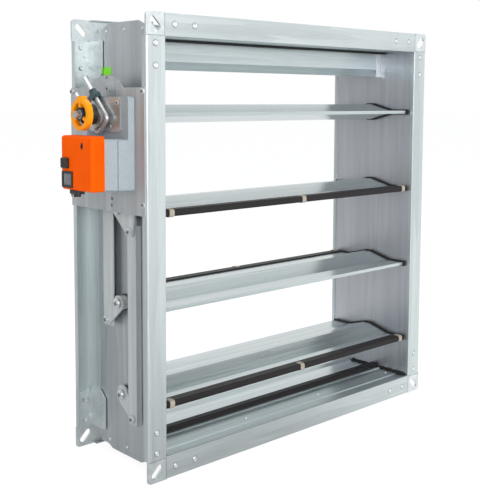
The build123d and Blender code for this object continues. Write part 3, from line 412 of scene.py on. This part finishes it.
def sealant_beads(drawn):
    chance = random.Random(11)
    steps, bulges, lift = 40, 6, 0.1 * MM
    for side in (-1, 1):
        rows = []
        for i in range(steps + 1):
            y = sealant_from + (sealant_to - sealant_from) * i / steps
            width = sealant_width * chance.uniform(0.82, 1.15)
            rows.append([
                drawn.verts.new((
                    side * (wall_x - width * math.cos(math.pi / 2 * k / bulges)), y,
                    floor_top_z + lift + width * math.sin(math.pi / 2 * k / bulges)))
                for k in range(bulges + 1)
            ])
        rows_of_faces(drawn, rows, False)


solid_piece("wall_foot_sealant", sealant_beads, sealant_black_and_painted_shade, "casing")

# ------------------------------------------------------------------ stop ends
# Small bright angle riveted over each end of the top stop, which ties the folded
# profile to the side wall.

bright_zinc = zinc_sheet("bright_zinc", (0.72, 0.77, 0.78), (0.90, 0.94, 0.95), 0.26, upright_grain)


def circle(drawn, place, radius, height, segments):
    """Row of corners round place's Z axis."""
    angles = [math.tau * i / segments for i in range(segments)]
    return [
        drawn.verts.new(place @ Vector((radius * math.cos(angle), radius * math.sin(angle), height)))
        for angle in angles
    ]


def turned(drawn, place, profile, segments=28):
    """Shape turned round place's Z axis from (radius, height) pairs in millimetres, with closed ends."""
    capped_skin(drawn, [
        circle(drawn, place, radius * MM, height * MM, segments) for radius, height in profile
    ])


def facing(direction, x, y, z):
    """Frame at a point whose Z axis points in the direction."""
    turn = Vector(direction).to_track_quat("Z", "Y").to_matrix().to_4x4()
    return Matrix.Translation((x, y, z)) @ turn


def stop_angles(drawn):
    width, sheet, depth = 11.0 * MM, 1.1 * MM, 12.0 * MM
    side_gap, overhang, head_gap = 0.25 * MM, 1.0 * MM, 3.4 * MM
    front = stop_low[1] - 0.15 * MM
    rivet_heights = (7.0 * MM, 25.0 * MM)
    rivet_head = [(2.3, 0.0), (2.1, 0.5), (1.2, 0.95), (0.2, 1.1)]
    for side in (-1, 1):
        edge = wall_x - side_gap
        outline = [
            (edge, front - sheet), (edge - width, front - sheet), (edge - width, front),
            (edge - sheet, front), (edge - sheet, front + depth), (edge, front + depth),
        ]
        capped_skin(drawn, [
            [drawn.verts.new((side * x, y, z)) for x, y in outline]
            for z in (stop_low[2] - overhang, ceiling_z - head_gap)
        ])
        rivet_x = side * (edge - width * 0.55)
        for height in rivet_heights:
            turned(drawn, facing((0, -1, 0), rivet_x, front - sheet, stop_low[2] + height), rivet_head)


solid_piece("stop_end_angles", stop_angles, bright_zinc, "casing")

# ------------------------------------------------------------------ flange frame
# Slide-on flange rails, roll-formed from galvanised strip, with pressed corner pieces
# held in their ends by clinch points.

rail_zinc = zinc_sheet("rail_zinc", (0.50, 0.555, 0.565), (0.72, 0.78, 0.785), 0.30, upright_grain)
rail_zinc_level = zinc_sheet(
    "rail_zinc_level", (0.50, 0.555, 0.565), (0.72, 0.78, 0.785), 0.30, level_grain)
corner_zinc = zinc_sheet("corner_zinc", (0.60, 0.65, 0.66), (0.82, 0.87, 0.88), 0.30, even_grain)
for side in ("front", "back"):
    for edge in ("left", "right"):
        finish_node(f"{side}_rail_{edge}", rail_zinc)
    for edge in ("top", "bottom"):
        finish_node(f"{side}_rail_{edge}", rail_zinc_level)
    finish_node(f"{side}_corners", corner_zinc)

# ------------------------------------------------------------------ clinch points
# Round clinch buttons that lock the corner pieces' legs in the rails, pressed from
# the flange side: a raised dome in a sharp ring, its rim coloured dark as painted shade in the crease round
# the dome.

frame_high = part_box("front_corners")[1]
back_face_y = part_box("back_corners")[1][1]
four_corners = [(side, end) for side in (-1, 1) for end in (-1, 1)]
clinch_steps = {"upright": (40.3 * MM, 69.3 * MM), "level": (47.0 * MM, 81.0 * MM)}
rail_middle = 15.0 * MM
# Dark zinc used as painted shade: the rings round the clinch domes and the corner joint lines.
painted_shade_zinc = zinc_sheet("clinch_rim", (0.10, 0.11, 0.115), (0.22, 0.235, 0.24), 0.42, even_grain, 500.0)


def clinch_places():
    """Middles of the clinch buttons, two on each rail's end."""
    places = []
    for side, end in four_corners:
        for step in clinch_steps["upright"]:
            places.append((side * (frame_high[0] - rail_middle), end * (frame_high[2] - step)))
        for step in clinch_steps["level"]:
            places.append((side * (frame_high[0] - step), end * (frame_high[2] - rail_middle)))
    return places


def clinch_domes(drawn):
    sunk = 0.05 * MM
    dome = [(4.0, 0.0), (3.9, 0.35), (3.4, 0.7), (2.6, 0.55), (2.0, 0.35), (1.3, 0.7), (0.1, 0.85)]
    for face, direction in ((0.0, -1), (back_face_y, 1)):
        for x, z in clinch_places():
            turned(drawn, facing((0, direction, 0), x, face - direction * sunk, z), dome, 24)


# Painted shade: a dark ring round the foot of each dome.
def clinch_rims(drawn):
    rim = ((3.9, 0.05), (4.3, 0.09), (4.6, 0.02))
    for face, direction in ((0.0, -1), (back_face_y, 1)):
        for x, z in clinch_places():
            place = facing((0, direction, 0), x, face, z)
            rows_of_faces(drawn, [
                circle(drawn, place, radius * MM, height * MM, 20) for radius, height in rim
            ], True)


def clinch_backs(drawn):
    """The buttons' inner sides, on the corner pieces' legs, and one more point beside them."""
    leg, point_x, point_z = 4.35 * MM, 279.0 * MM, 262.0 * MM
    button = [(3.4, 0.0), (3.2, 0.9), (2.2, 1.1), (1.6, 0.6), (0.1, 0.5)]
    point = [(1.9, 0.0), (1.7, 0.5), (0.1, 0.7)]
    for face, direction in ((leg, 1), (back_face_y - leg, -1)):
        for x, z in clinch_places():
            turned(drawn, facing((0, direction, 0), x, face, z), button, 20)
        for side, end in four_corners:
            turned(drawn, facing((0, direction, 0), side * point_x, face, end * point_z), point, 16)


solid_piece("clinch_domes", clinch_domes, corner_zinc, "casing")
solid_piece("clinch_backs", clinch_backs, corner_zinc, "casing")
solid_piece("clinch_rims", clinch_rims, painted_shade_zinc, "casing")

# ------------------------------------------------------------------ corner joints
# The cut ends of the rails against the corner squares: thin dark strips laid on the
# flange faces as painted shade in the narrow gap, and pressed dimples on the legs that lie on the side
# panels.


# Painted shade: dark strips along the rails' joints with the corner squares.
def joint_shade_lines(drawn):
    width, square, edge, lift = 0.55 * MM, 30.0 * MM, 0.5 * MM, 0.06 * MM
    for face in (-lift, back_face_y + lift):
        for side, end in four_corners:
            x, z = side * (frame_high[0] - square), end * (frame_high[2] - square)
            outer_x, outer_z = side * (frame_high[0] - edge), end * (frame_high[2] - edge)
            for corners in (
                    ((x, z), (outer_x, z), (outer_x, z - end * width), (x, z - end * width)),
                    ((x, z), (x, outer_z), (x - side * width, outer_z), (x - side * width, z))):
                drawn.faces.new([drawn.verts.new((cx, face, cz)) for cx, cz in corners])


def leg_dimples(drawn):
    leg_face = 273.75 * MM
    depths, heights = (26.0 * MM, 154.0 * MM), (252.0 * MM, 240.0 * MM)
    dimple = [(2.4, 0.0), (2.2, 0.45), (1.2, 0.8), (0.1, 0.9)]
    for side, end in four_corners:
        for y in depths:
            for z in heights:
                turned(drawn, facing((side, 0, 0), side * leg_face, y, end * z), dimple, 20)


solid_piece("corner_joint_shade_lines", joint_shade_lines, painted_shade_zinc, "casing", smooth=False)
solid_piece("leg_dimples", leg_dimples, corner_zinc, "casing")

# ------------------------------------------------------------------ labels
# Two plain stickers on the drive-side panel above the bracket: one of lime-green
# film and one of white film, with rounded corners and slightly lifted edges.


def ripple_group():
    """Slight waves of a film over its glue, put out as a height."""
    group = bpy.data.node_groups.new("film_ripple", "ShaderNodeTree")
    socket(group, "Position", "INPUT", "NodeSocketVector")
    socket(group, "Ripple", "OUTPUT", "NodeSocketFloat")
    new, link = group.nodes.new, group.links.new
    into, out = new("NodeGroupInput"), new("NodeGroupOutput")
    waves = new("ShaderNodeTexNoise")
    waves.inputs["Scale"].default_value = 160.0
    link(into.outputs["Position"], waves.inputs["Vector"])
    link(waves.outputs["Fac"], out.inputs["Ripple"])
    return group


film_ripple = ripple_group()


def film(name, colour):
    """Printed film, its colour painted a little darker in the hollows of its ripple as painted shade."""
    hollow_shade = 0.86
    paint = bpy.data.materials.new(name)
    paint.use_nodes = True
    tree = paint.node_tree
    new, link = tree.nodes.new, tree.links.new
    shader = tree.nodes["Principled BSDF"]
    shader.inputs["Roughness"].default_value = 0.32
    where = new("ShaderNodeTexCoord")
    ripple = new("ShaderNodeGroup")
    ripple.node_tree = film_ripple
    # Painted shade: the colour is darker where the ripple is low.
    tone = colour_ramp(tree, 0.3, [c * hollow_shade for c in colour], 0.7, colour)
    relief = new("ShaderNodeBump")
    relief.inputs["Distance"].default_value = 0.0001
    link(where.outputs["Object"], ripple.inputs["Position"])
    link(ripple.outputs["Ripple"], tone.inputs[0])
    link(tone.outputs[0], shader.inputs["Base Color"])
    link(ripple.outputs["Ripple"], relief.inputs["Height"])
    link(relief.outputs[0], shader.inputs["Normal"])
    return paint


def sticker(name, paint, x, y_from, y_to, z_from, z_to):
    """Film on the panel's face at x, with round corners and a rim that stands off a little."""
    def sheet(drawn):
        corner, lift, thickness = 1.2 * MM, 0.25 * MM, 0.15 * MM
        corner_steps = 4
        rim = []
        for cy, cz, start in (
                (y_to - corner, z_to - corner, 0), (y_from + corner, z_to - corner, 90),
                (y_from + corner, z_from + corner, 180), (y_to - corner, z_from + corner, 270)):
            for k in range(corner_steps + 1):
                angle = math.radians(start + 90.0 / corner_steps * k)
                rim.append((cy + corner * math.cos(angle), cz + corner * math.sin(angle)))
        middle_y, middle_z = (y_from + y_to) / 2, (z_from + z_to) / 2
        rows = []
        for share, rise in ((1.0, 0.0), (1.0, thickness + lift), (0.86, thickness), (0.4, thickness)):
            rows.append([
                drawn.verts.new((
                    x - rise, middle_y + (y - middle_y) * share, middle_z + (z - middle_z) * share))
                for y, z in rim
            ])
        rows_of_faces(drawn, rows, True)
        drawn.faces.new(rows[-1])
    solid_piece(name, sheet, paint, "casing")


label_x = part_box("side_panel_left")[0][0] - 0.02 * MM
sticker("green_label", film("lime_film", (0.26, 0.93, 0.015)), label_x,
        121 * MM, 152 * MM, 235.5 * MM, 246.5 * MM)
sticker("white_label", film("white_film", (0.85, 0.86, 0.84)), label_x,
        138 * MM, 158 * MM, 220 * MM, 234.5 * MM)

# ------------------------------------------------------------------ blades
# Double-skin blades rolled from galvanised sheet, with moulded end caps, a rubber
# edge seal on one side and cream clips that hold the seal.

blade_zinc = zinc_sheet("blade_zinc", (0.46, 0.53, 0.54), (0.66, 0.72, 0.725), 0.17, (0.03, 1.0, 1.0))


def skin_group():
    """Moulded skin: fine pebbles and broad faint clouds, put out as a height and a mask."""
    cloud_size = 0.03
    group = bpy.data.node_groups.new("moulded_skin", "ShaderNodeTree")
    socket(group, "Position", "INPUT", "NodeSocketVector")
    socket(group, "Pebble Scale", "INPUT", "NodeSocketFloat", 2000.0)
    socket(group, "Pebbles", "OUTPUT", "NodeSocketFloat")
    socket(group, "Clouds", "OUTPUT", "NodeSocketFloat")
    new, link = group.nodes.new, group.links.new
    into, out = new("NodeGroupInput"), new("NodeGroupOutput")
    pebbles = new("ShaderNodeTexNoise")
    pebbles.inputs["Detail"].default_value = 4.0
    link(into.outputs["Position"], pebbles.inputs["Vector"])
    link(into.outputs["Pebble Scale"], pebbles.inputs["Scale"])
    wider = new("ShaderNodeMath")
    wider.operation = "MULTIPLY"
    wider.inputs[1].default_value = cloud_size
    link(into.outputs["Pebble Scale"], wider.inputs[0])
    clouds = new("ShaderNodeTexNoise")
    clouds.inputs["Detail"].default_value = 3.0
    link(into.outputs["Position"], clouds.inputs["Vector"])
    link(wider.outputs[0], clouds.inputs["Scale"])
    link(pebbles.outputs["Fac"], out.inputs["Pebbles"])
    link(clouds.outputs["Fac"], out.inputs["Clouds"])
    return group


moulded_skin = skin_group()


def moulded(name, colour, roughness, grain_scale, grain_depth, mottling=0.12, gloss=0.5):
    """Moulded plastic or rubber: a fine pebbled skin and slight mottling of the colour."""
    paint = bpy.data.materials.new(name)
    paint.use_nodes = True
    tree = paint.node_tree
    new, link = tree.nodes.new, tree.links.new
    shader = tree.nodes["Principled BSDF"]
    shader.inputs["Specular IOR Level"].default_value = gloss
    where = new("ShaderNodeTexCoord")
    skin = new("ShaderNodeGroup")
    skin.node_tree = moulded_skin
    skin.inputs["Pebble Scale"].default_value = grain_scale
    link(where.outputs["Object"], skin.inputs["Position"])
    dark = [c * (1 - mottling) for c in colour]
    light = [min(1.0, c * (1 + mottling)) for c in colour]
    ramp = colour_ramp(tree, 0.3, dark, 0.7, light)
    link(skin.outputs["Clouds"], ramp.inputs[0])
    link(ramp.outputs[0], shader.inputs["Base Color"])
    sheen = new("ShaderNodeMapRange")
    sheen.inputs["To Min"].default_value = max(0.05, roughness - 0.06)
    sheen.inputs["To Max"].default_value = min(1.0, roughness + 0.08)
    link(skin.outputs["Clouds"], sheen.inputs["Value"])
    link(sheen.outputs[0], shader.inputs["Roughness"])
    relief = new("ShaderNodeBump")
    relief.inputs["Strength"].default_value = 0.6
    relief.inputs["Distance"].default_value = grain_depth
    link(skin.outputs["Pebbles"], relief.inputs["Height"])
    link(relief.outputs[0], shader.inputs["Normal"])
    return paint


cap_black = moulded("cap_black", (0.012, 0.012, 0.013), 0.5, 2500.0, 0.00003, 0.12, 0.3)
seal_rubber = moulded("seal_rubber", (0.013, 0.011, 0.012), 0.5, 1800.0, 0.00005, 0.12, 0.3)
clip_cream = moulded("clip_cream", (0.42, 0.375, 0.30), 0.42, 2200.0, 0.00002)
shaft_steel = zinc_sheet(
    "shaft_steel", (0.42, 0.44, 0.45), (0.60, 0.62, 0.63), 0.25, (0.1, 1.0, 1.0), 300.0)
for i in range(1, 5):
    finish_node(f"blade_{i}", blade_zinc)
    finish_node(f"blade_{i}_end_caps", cap_black)
    finish_node(f"blade_{i}_seal", seal_rubber)
    finish_node(f"blade_{i}_clips", clip_cream)
    finish_node(f"blade_{i}_shafts", shaft_steel)
finish_node("bottom_stop_seal", seal_rubber)

# ------------------------------------------------------------------ linkage
# Levers on the shafts' ends and two angle bars that tie them, cut from galvanised
# strip. Rivets and screws are zinc plated, and the shafts' bushes are grey plastic.

link_zinc = zinc_sheet(
    "link_zinc", (0.48, 0.51, 0.52), (0.72, 0.75, 0.755), 0.36, upright_grain, metallic=0.5)
fastener_zinc = zinc_sheet("fastener_zinc", (0.62, 0.65, 0.66), (0.86, 0.89, 0.90), 0.24, even_grain, 400.0)
bush_grey = moulded("bush_grey", (0.05, 0.05, 0.052), 0.45, 2500.0, 0.00002)
for i in range(1, 5):
    finish_node(f"blade_{i}_lever", link_zinc)
for name in ("link_bar_front", "link_bar_rear", "bar_coupler"):
    finish_node(name, link_zinc)
for name in ("rivets", "bracket_screws"):
    finish_node(name, fastener_zinc)
finish_node("shaft_bushes", bush_grey)

# ------------------------------------------------------------------ screws
# Pan-head screws with a cross recess: four hold the bracket to the flanges. On each
# lever one holds the link pin, and one the shaft's end, except on the driven blade.

# Painted shade: the screws' cross recesses and head middles are coloured dark.
recess_painted_shade = zinc_sheet("recess_painted_shade", (0.12, 0.12, 0.125), (0.30, 0.31, 0.32), 0.35, even_grain, 500.0)


def pan_head(drawn, place, radius, height, recess, turn):
    """Domed head standing on place, with a cross pressed into it; the cross and the head's middle take the
    second finish, painted shade in the recess.
    """
    rings, spokes = 12, 48
    slot_half, slot_reach, shade_half, shade_reach = 0.15, 0.62, 0.19, 0.66
    rows = []
    for ring in range(1, rings + 1):
        reach = radius * ring / rings
        dome = height * (1 - 0.5 * (ring / rings) ** 3)
        row = []
        for spoke in range(spokes):
            angle = math.tau * spoke / spokes
            x, y = reach * math.cos(angle), reach * math.sin(angle)
            u = abs(x * math.cos(turn) + y * math.sin(turn))
            v = abs(y * math.cos(turn) - x * math.sin(turn))
            in_cross = min(u, v) < radius * slot_half and max(u, v) < radius * slot_reach
            row.append(drawn.verts.new(place @ Vector((x, y, dome - (recess if in_cross else 0.0)))))
        rows.append(row)
    rows.append(circle(drawn, place, radius, 0.0, spokes))
    rows_of_faces(drawn, rows, True)
    drawn.faces.new(rows[0]).material_index = 1
    top = {vertex for row in rows[:-1] for vertex in row}
    for vertex in rows[0]:
        for face in vertex.link_faces:
            face.material_index = 1
    inverse = place.inverted()
    for face in {face for vertex in top for face in vertex.link_faces}:
        middle = inverse @ face.calc_center_median()
        u = abs(middle.x * math.cos(turn) + middle.y * math.sin(turn))
        v = abs(middle.y * math.cos(turn) - middle.x * math.sin(turn))
        if min(u, v) < radius * shade_half and max(u, v) < radius * shade_reach:
            face.material_index = 1


def washer(drawn, place, radius, thickness):
    """Flat washer with a chamfered rim, sized in millimetres."""
    turned(drawn, place, [(radius, 0.0), (radius, thickness * 0.6), (radius * 0.95, thickness)], 36)


screw_low, screw_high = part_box("bracket_screws")
screw_radius = 4.3 * MM


def bracket_heads(drawn):
    bracket_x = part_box("actuator_bracket")[0][0]
    height, recess = 2.4 * MM, 1.1 * MM
    turn, turn_step = 0.2, 0.7
    for y in (screw_low[1] + screw_radius, screw_high[1] - screw_radius):
        for z in (screw_low[2] + screw_radius, screw_high[2] - screw_radius):
            pan_head(drawn, facing((-1, 0, 0), bracket_x, y, z), screw_radius, height, recess, turn)
            turn += turn_step


# The second finish is painted shade in the screws' recesses.
screw_finish = (fastener_zinc, recess_painted_shade)
bracket_screw_heads = solid_piece(
    "bracket_screw_heads", bracket_heads, screw_finish, "casing")
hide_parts("bracket_screws")

lever_arm = 40.0 * MM * math.cos(math.radians(45.0))
pin_sides = (1, -1, 1, -1)
levers_outside_bar = (2, 3)


def shaft_axis(index):
    """Where a blade's axis lies, as (y, z)."""
    low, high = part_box(f"blade_{index}_shafts")
    return (low[1] + high[1]) / 2, (low[2] + high[2]) / 2


def lever_fasteners(index):
    """Screws of one lever's shaft end and link pin; the first lever's shaft runs on to the clamp."""
    axis_y, axis_z = shaft_axis(index)
    lever_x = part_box(f"blade_{index}_lever")[0][0]
    outside = index in levers_outside_bar
    screw_x = lever_x if outside else lever_x + 1.8 * MM
    pin_x = lever_x + 0.5 * MM if outside else lever_x
    pin_y, pin_z = axis_y + pin_sides[index - 1] * lever_arm, axis_z - lever_arm
    washer_radius, washer_sheet, head_rise, head_radius = 7.2, 0.9, 0.7 * MM, 5.2 * MM

    def build(drawn):
        if index > 1:
            end = facing((-1, 0, 0), screw_x, axis_y, axis_z)
            washer(drawn, end, washer_radius, washer_sheet)
            head_place = end @ Matrix.Translation((0, 0, head_rise))
            pan_head(drawn, head_place, head_radius, 2.3 * MM, 1.4 * MM, 0.4 * index)
        pin_place = facing((-1, 0, 0), pin_x, pin_y, pin_z)
        pan_head(drawn, pin_place, head_radius, 1.9 * MM, 1.2 * MM, 0.9 * index)

    solid_piece(
        f"lever_{index}_screws", build, screw_finish, f"blade_{index}_assembly")


for i in range(1, 5):
    lever_fasteners(i)

# ------------------------------------------------------------------ actuator
# Rotary actuator: a die-cast gear housing, a moulded orange cover, and a spindle clamp
# with a V-bolt, on whose sleeve the yellow position ring sits.

cast_alloy = zinc_sheet(
    "cast_alloy", (0.29, 0.335, 0.36), (0.37, 0.42, 0.45), 0.46, even_grain, 900.0, 0.00006, 0.35)
jaw_dark = zinc_sheet("jaw_dark", (0.035, 0.06, 0.07), (0.13, 0.19, 0.21), 0.30, even_grain, 600.0)
cover_orange = moulded("cover_orange", (0.93, 0.105, 0.0), 0.55, 1500.0, 0.00003, 0.04, 0.05)
black_plastic = moulded("black_plastic", (0.018, 0.018, 0.019), 0.38, 2200.0, 0.00002)
ring_yellow = moulded("ring_yellow", (0.95, 0.34, 0.002), 0.38, 1800.0, 0.00002, 0.05, 0.2)
clamp_zinc = zinc_sheet(
    "clamp_zinc", (0.50, 0.52, 0.53), (0.66, 0.68, 0.68), 0.26, even_grain, 120.0, 0.00001)
finish_node("actuator_base", cast_alloy)
finish_node("actuator_cover", cover_orange)
for name in ("terminal_window", "cable_gland", "release_button", "clamp_sleeve"):
    finish_node(name, black_plastic)
finish_node("indicator_ring", ring_yellow)


def darken_hub(paint, radius):
    """The ring's hub is a dark insert; its edge lies at the radius from the drive axis."""
    tree = paint.node_tree
    where = tree.nodes.new("ShaderNodeTexCoord")
    offset = tree.nodes.new("ShaderNodeVectorMath")
    offset.operation = "SUBTRACT"
    offset.inputs[1].default_value = (0.0, *shaft_axis(1))
    flat = tree.nodes.new("ShaderNodeVectorMath")
    flat.operation = "MULTIPLY"
    flat.inputs[1].default_value = (0.0, 1.0, 1.0)
    reach = tree.nodes.new("ShaderNodeVectorMath")
    reach.operation = "LENGTH"
    inside = tree.nodes.new("ShaderNodeMath")
    inside.operation = "LESS_THAN"
    inside.inputs[1].default_value = radius
    colour = tree.nodes.new("ShaderNodeMix")
    colour.data_type = "RGBA"
    sockets = {end.identifier: end for end in (*colour.inputs, *colour.outputs)}
    sockets["B_Color"].default_value = (0.035, 0.034, 0.033, 1)
    base = tree.nodes["Principled BSDF"].inputs["Base Color"]
    tree.links.new(base.links[0].from_socket, sockets["A_Color"])
    tree.links.new(where.outputs["Object"], offset.inputs[0])
    tree.links.new(offset.outputs[0], flat.inputs[0])
    tree.links.new(flat.outputs[0], reach.inputs[0])
    tree.links.new(reach.outputs["Value"], inside.inputs[0])
    tree.links.new(inside.outputs[0], sockets["Factor_Float"])
    tree.links.new(sockets["Result_Color"], base)


hub_radius = 9.6 * MM
darken_hub(ring_yellow, hub_radius)
for name in ("clamp_faceplate", "spindle_clamp", "clamp_bolt"):
    finish_node(name, clamp_zinc)
finish_node("clamp_jaw", jaw_dark)

# ------------------------------------------------------------------ faceplate screws
# Three cross-head screws, zinc plated and sunk almost flush, which hold the clamp's
# steel plate to the gear housing.

plate_low, plate_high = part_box("clamp_faceplate")


def plate_screws(drawn):
    radius, height, recess = 3.6 * MM, 0.9 * MM, 0.75 * MM
    for y, z, turn in (
            (plate_low[1] + 6.5 * MM, plate_high[2] - 7.0 * MM, 0.2),
            (plate_low[1] + 24.0 * MM, plate_low[2] + 6.5 * MM, 0.9),
            (plate_high[1] - 6.5 * MM, plate_high[2] - 7.0 * MM, 0.5)):
        pan_head(drawn, facing((-1, 0, 0), plate_low[0], y, z), radius, height, recess, turn)


solid_piece("faceplate_screws", plate_screws, screw_finish, "casing")

# ------------------------------------------------------------------ bolt threads
# Thread rolled on both legs of the clamp's V-bolt, beyond the nuts: zinc-plated steel
# with a ridge that climbs round the leg.

thread_angle = math.radians(45.0)
thread_spacing = 31.0 * MM
bolt_low, bolt_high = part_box("clamp_bolt")


def thread(drawn, place, radius, length, pitch, depth):
    """Threaded rod along place's Z axis; its core radius is given, and the ridge stands on that."""
    segments, per_turn = 20, 6
    steps = int(length / pitch * per_turn)
    rows = []
    for step in range(steps + 1):
        height = length * step / steps
        row = []
        for i in range(segments):
            phase = (height / pitch - i / segments) % 1.0
            crest = 1.0 - abs(2.0 * phase - 1.0)
            reach = radius + depth * crest
            angle = math.tau * i / segments
            corner = Vector((reach * math.cos(angle), reach * math.sin(angle), height))
            row.append(drawn.verts.new(place @ corner))
        rows.append(row)
    capped_skin(drawn, rows)


def leg_threads(drawn):
    middle_x = (bolt_low[0] + bolt_high[0]) / 2
    along = Vector((0, math.cos(thread_angle), math.sin(thread_angle)))
    across = Vector((0, -math.sin(thread_angle), math.cos(thread_angle)))
    beyond_nuts, core, length, pitch, depth = 29.5, 3.02 * MM, 24.8 * MM, 1.25 * MM, 0.42 * MM
    drive_axis = Vector((middle_x, *shaft_axis(1)))
    for side in (-1, 1):
        start = drive_axis + along * beyond_nuts * MM + across * (side * thread_spacing / 2)
        thread(drawn, facing(along, *start), core, length, pitch, depth)


solid_piece("bolt_threads", leg_threads, fastener_zinc, "blade_1_assembly")

# ------------------------------------------------------------------ cover fittings
# The smoked pane in the terminal window's frame, the grip ribs moulded on the release
# button, and the black plastic insert in the cover's key hole.

smoked_pane = moulded("smoked_pane", (0.16, 0.17, 0.175), 0.16, 900.0, 0.00001)
window_low, window_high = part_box("terminal_window")
button_low, button_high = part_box("release_button")
cover_low, cover_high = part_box("actuator_cover")


def pane(drawn):
    """Slightly crowned pane inside the frame."""
    border, seat, crown, steps = 3.2 * MM, 1.1 * MM, 0.7 * MM, 10
    y_from, y_to = window_low[1] + border, window_high[1] - border
    z_from, z_to = window_low[2] + border, window_high[2] - border
    base_x = window_low[0] + seat
    rows = []
    for i in range(steps + 1):
        row = []
        for k in range(steps + 1):
            u, v = i / steps, k / steps
            rise = crown * (1 - (2 * u - 1) ** 4) * (1 - (2 * v - 1) ** 4)
            row.append(drawn.verts.new((
                base_x - rise, y_from + (y_to - y_from) * u, z_from + (z_to - z_from) * v)))
        rows.append(row)
    rows_of_faces(drawn, rows, False)


def grip_ribs(drawn):
    count, end_margin, side_margin = 5, 2.4 * MM, 2.6 * MM
    rib = [(-0.75, 0.1), (-0.45, -0.55), (0.45, -0.55), (0.75, 0.1)]
    for i in range(count):
        z = button_low[2] + end_margin + (button_high[2] - button_low[2] - 2 * end_margin) * i / (count - 1)
        capped_skin(drawn, [
            [drawn.verts.new((button_low[0] + dx * MM, y, z + dz * MM)) for dz, dx in rib]
            for y in (button_low[1] + side_margin, button_high[1] - side_margin)
        ])


def key_socket(drawn):
    """Black insert in the cover's key hole, with a hexagon in its middle."""
    seat, segments = 0.9 * MM, 24
    middle = Vector((cover_low[0] + seat, cover_low[1] + 24.0 * MM, cover_high[2] - 13.0 * MM))
    rows = []
    for reach_y, reach_z, height, sides in (
            (3.3, 4.55, -2.5, 0), (3.3, 4.55, 0.0, 0), (2.7, 3.9, 0.25, 0),
            (1.9, 1.9, 0.2, 6), (1.8, 1.8, -1.5, 6)):
        row = []
        for i in range(segments):
            angle = math.tau * i / segments
            reach = 1.0
            if sides:
                part = math.tau / sides
                reach = math.cos(part / 2) / math.cos(angle % part - part / 2)
            y, z = reach_y * MM * reach * math.cos(angle), reach_z * MM * reach * math.sin(angle)
            row.append(drawn.verts.new(middle + Vector((-height * MM, y, z))))
        rows.append(row)
    capped_skin(drawn, rows)


solid_piece("key_socket", key_socket, black_plastic, "casing")
solid_piece("window_pane", pane, smoked_pane, "casing")
solid_piece("button_grip_ribs", grip_ribs, black_plastic, "button", smooth=False)
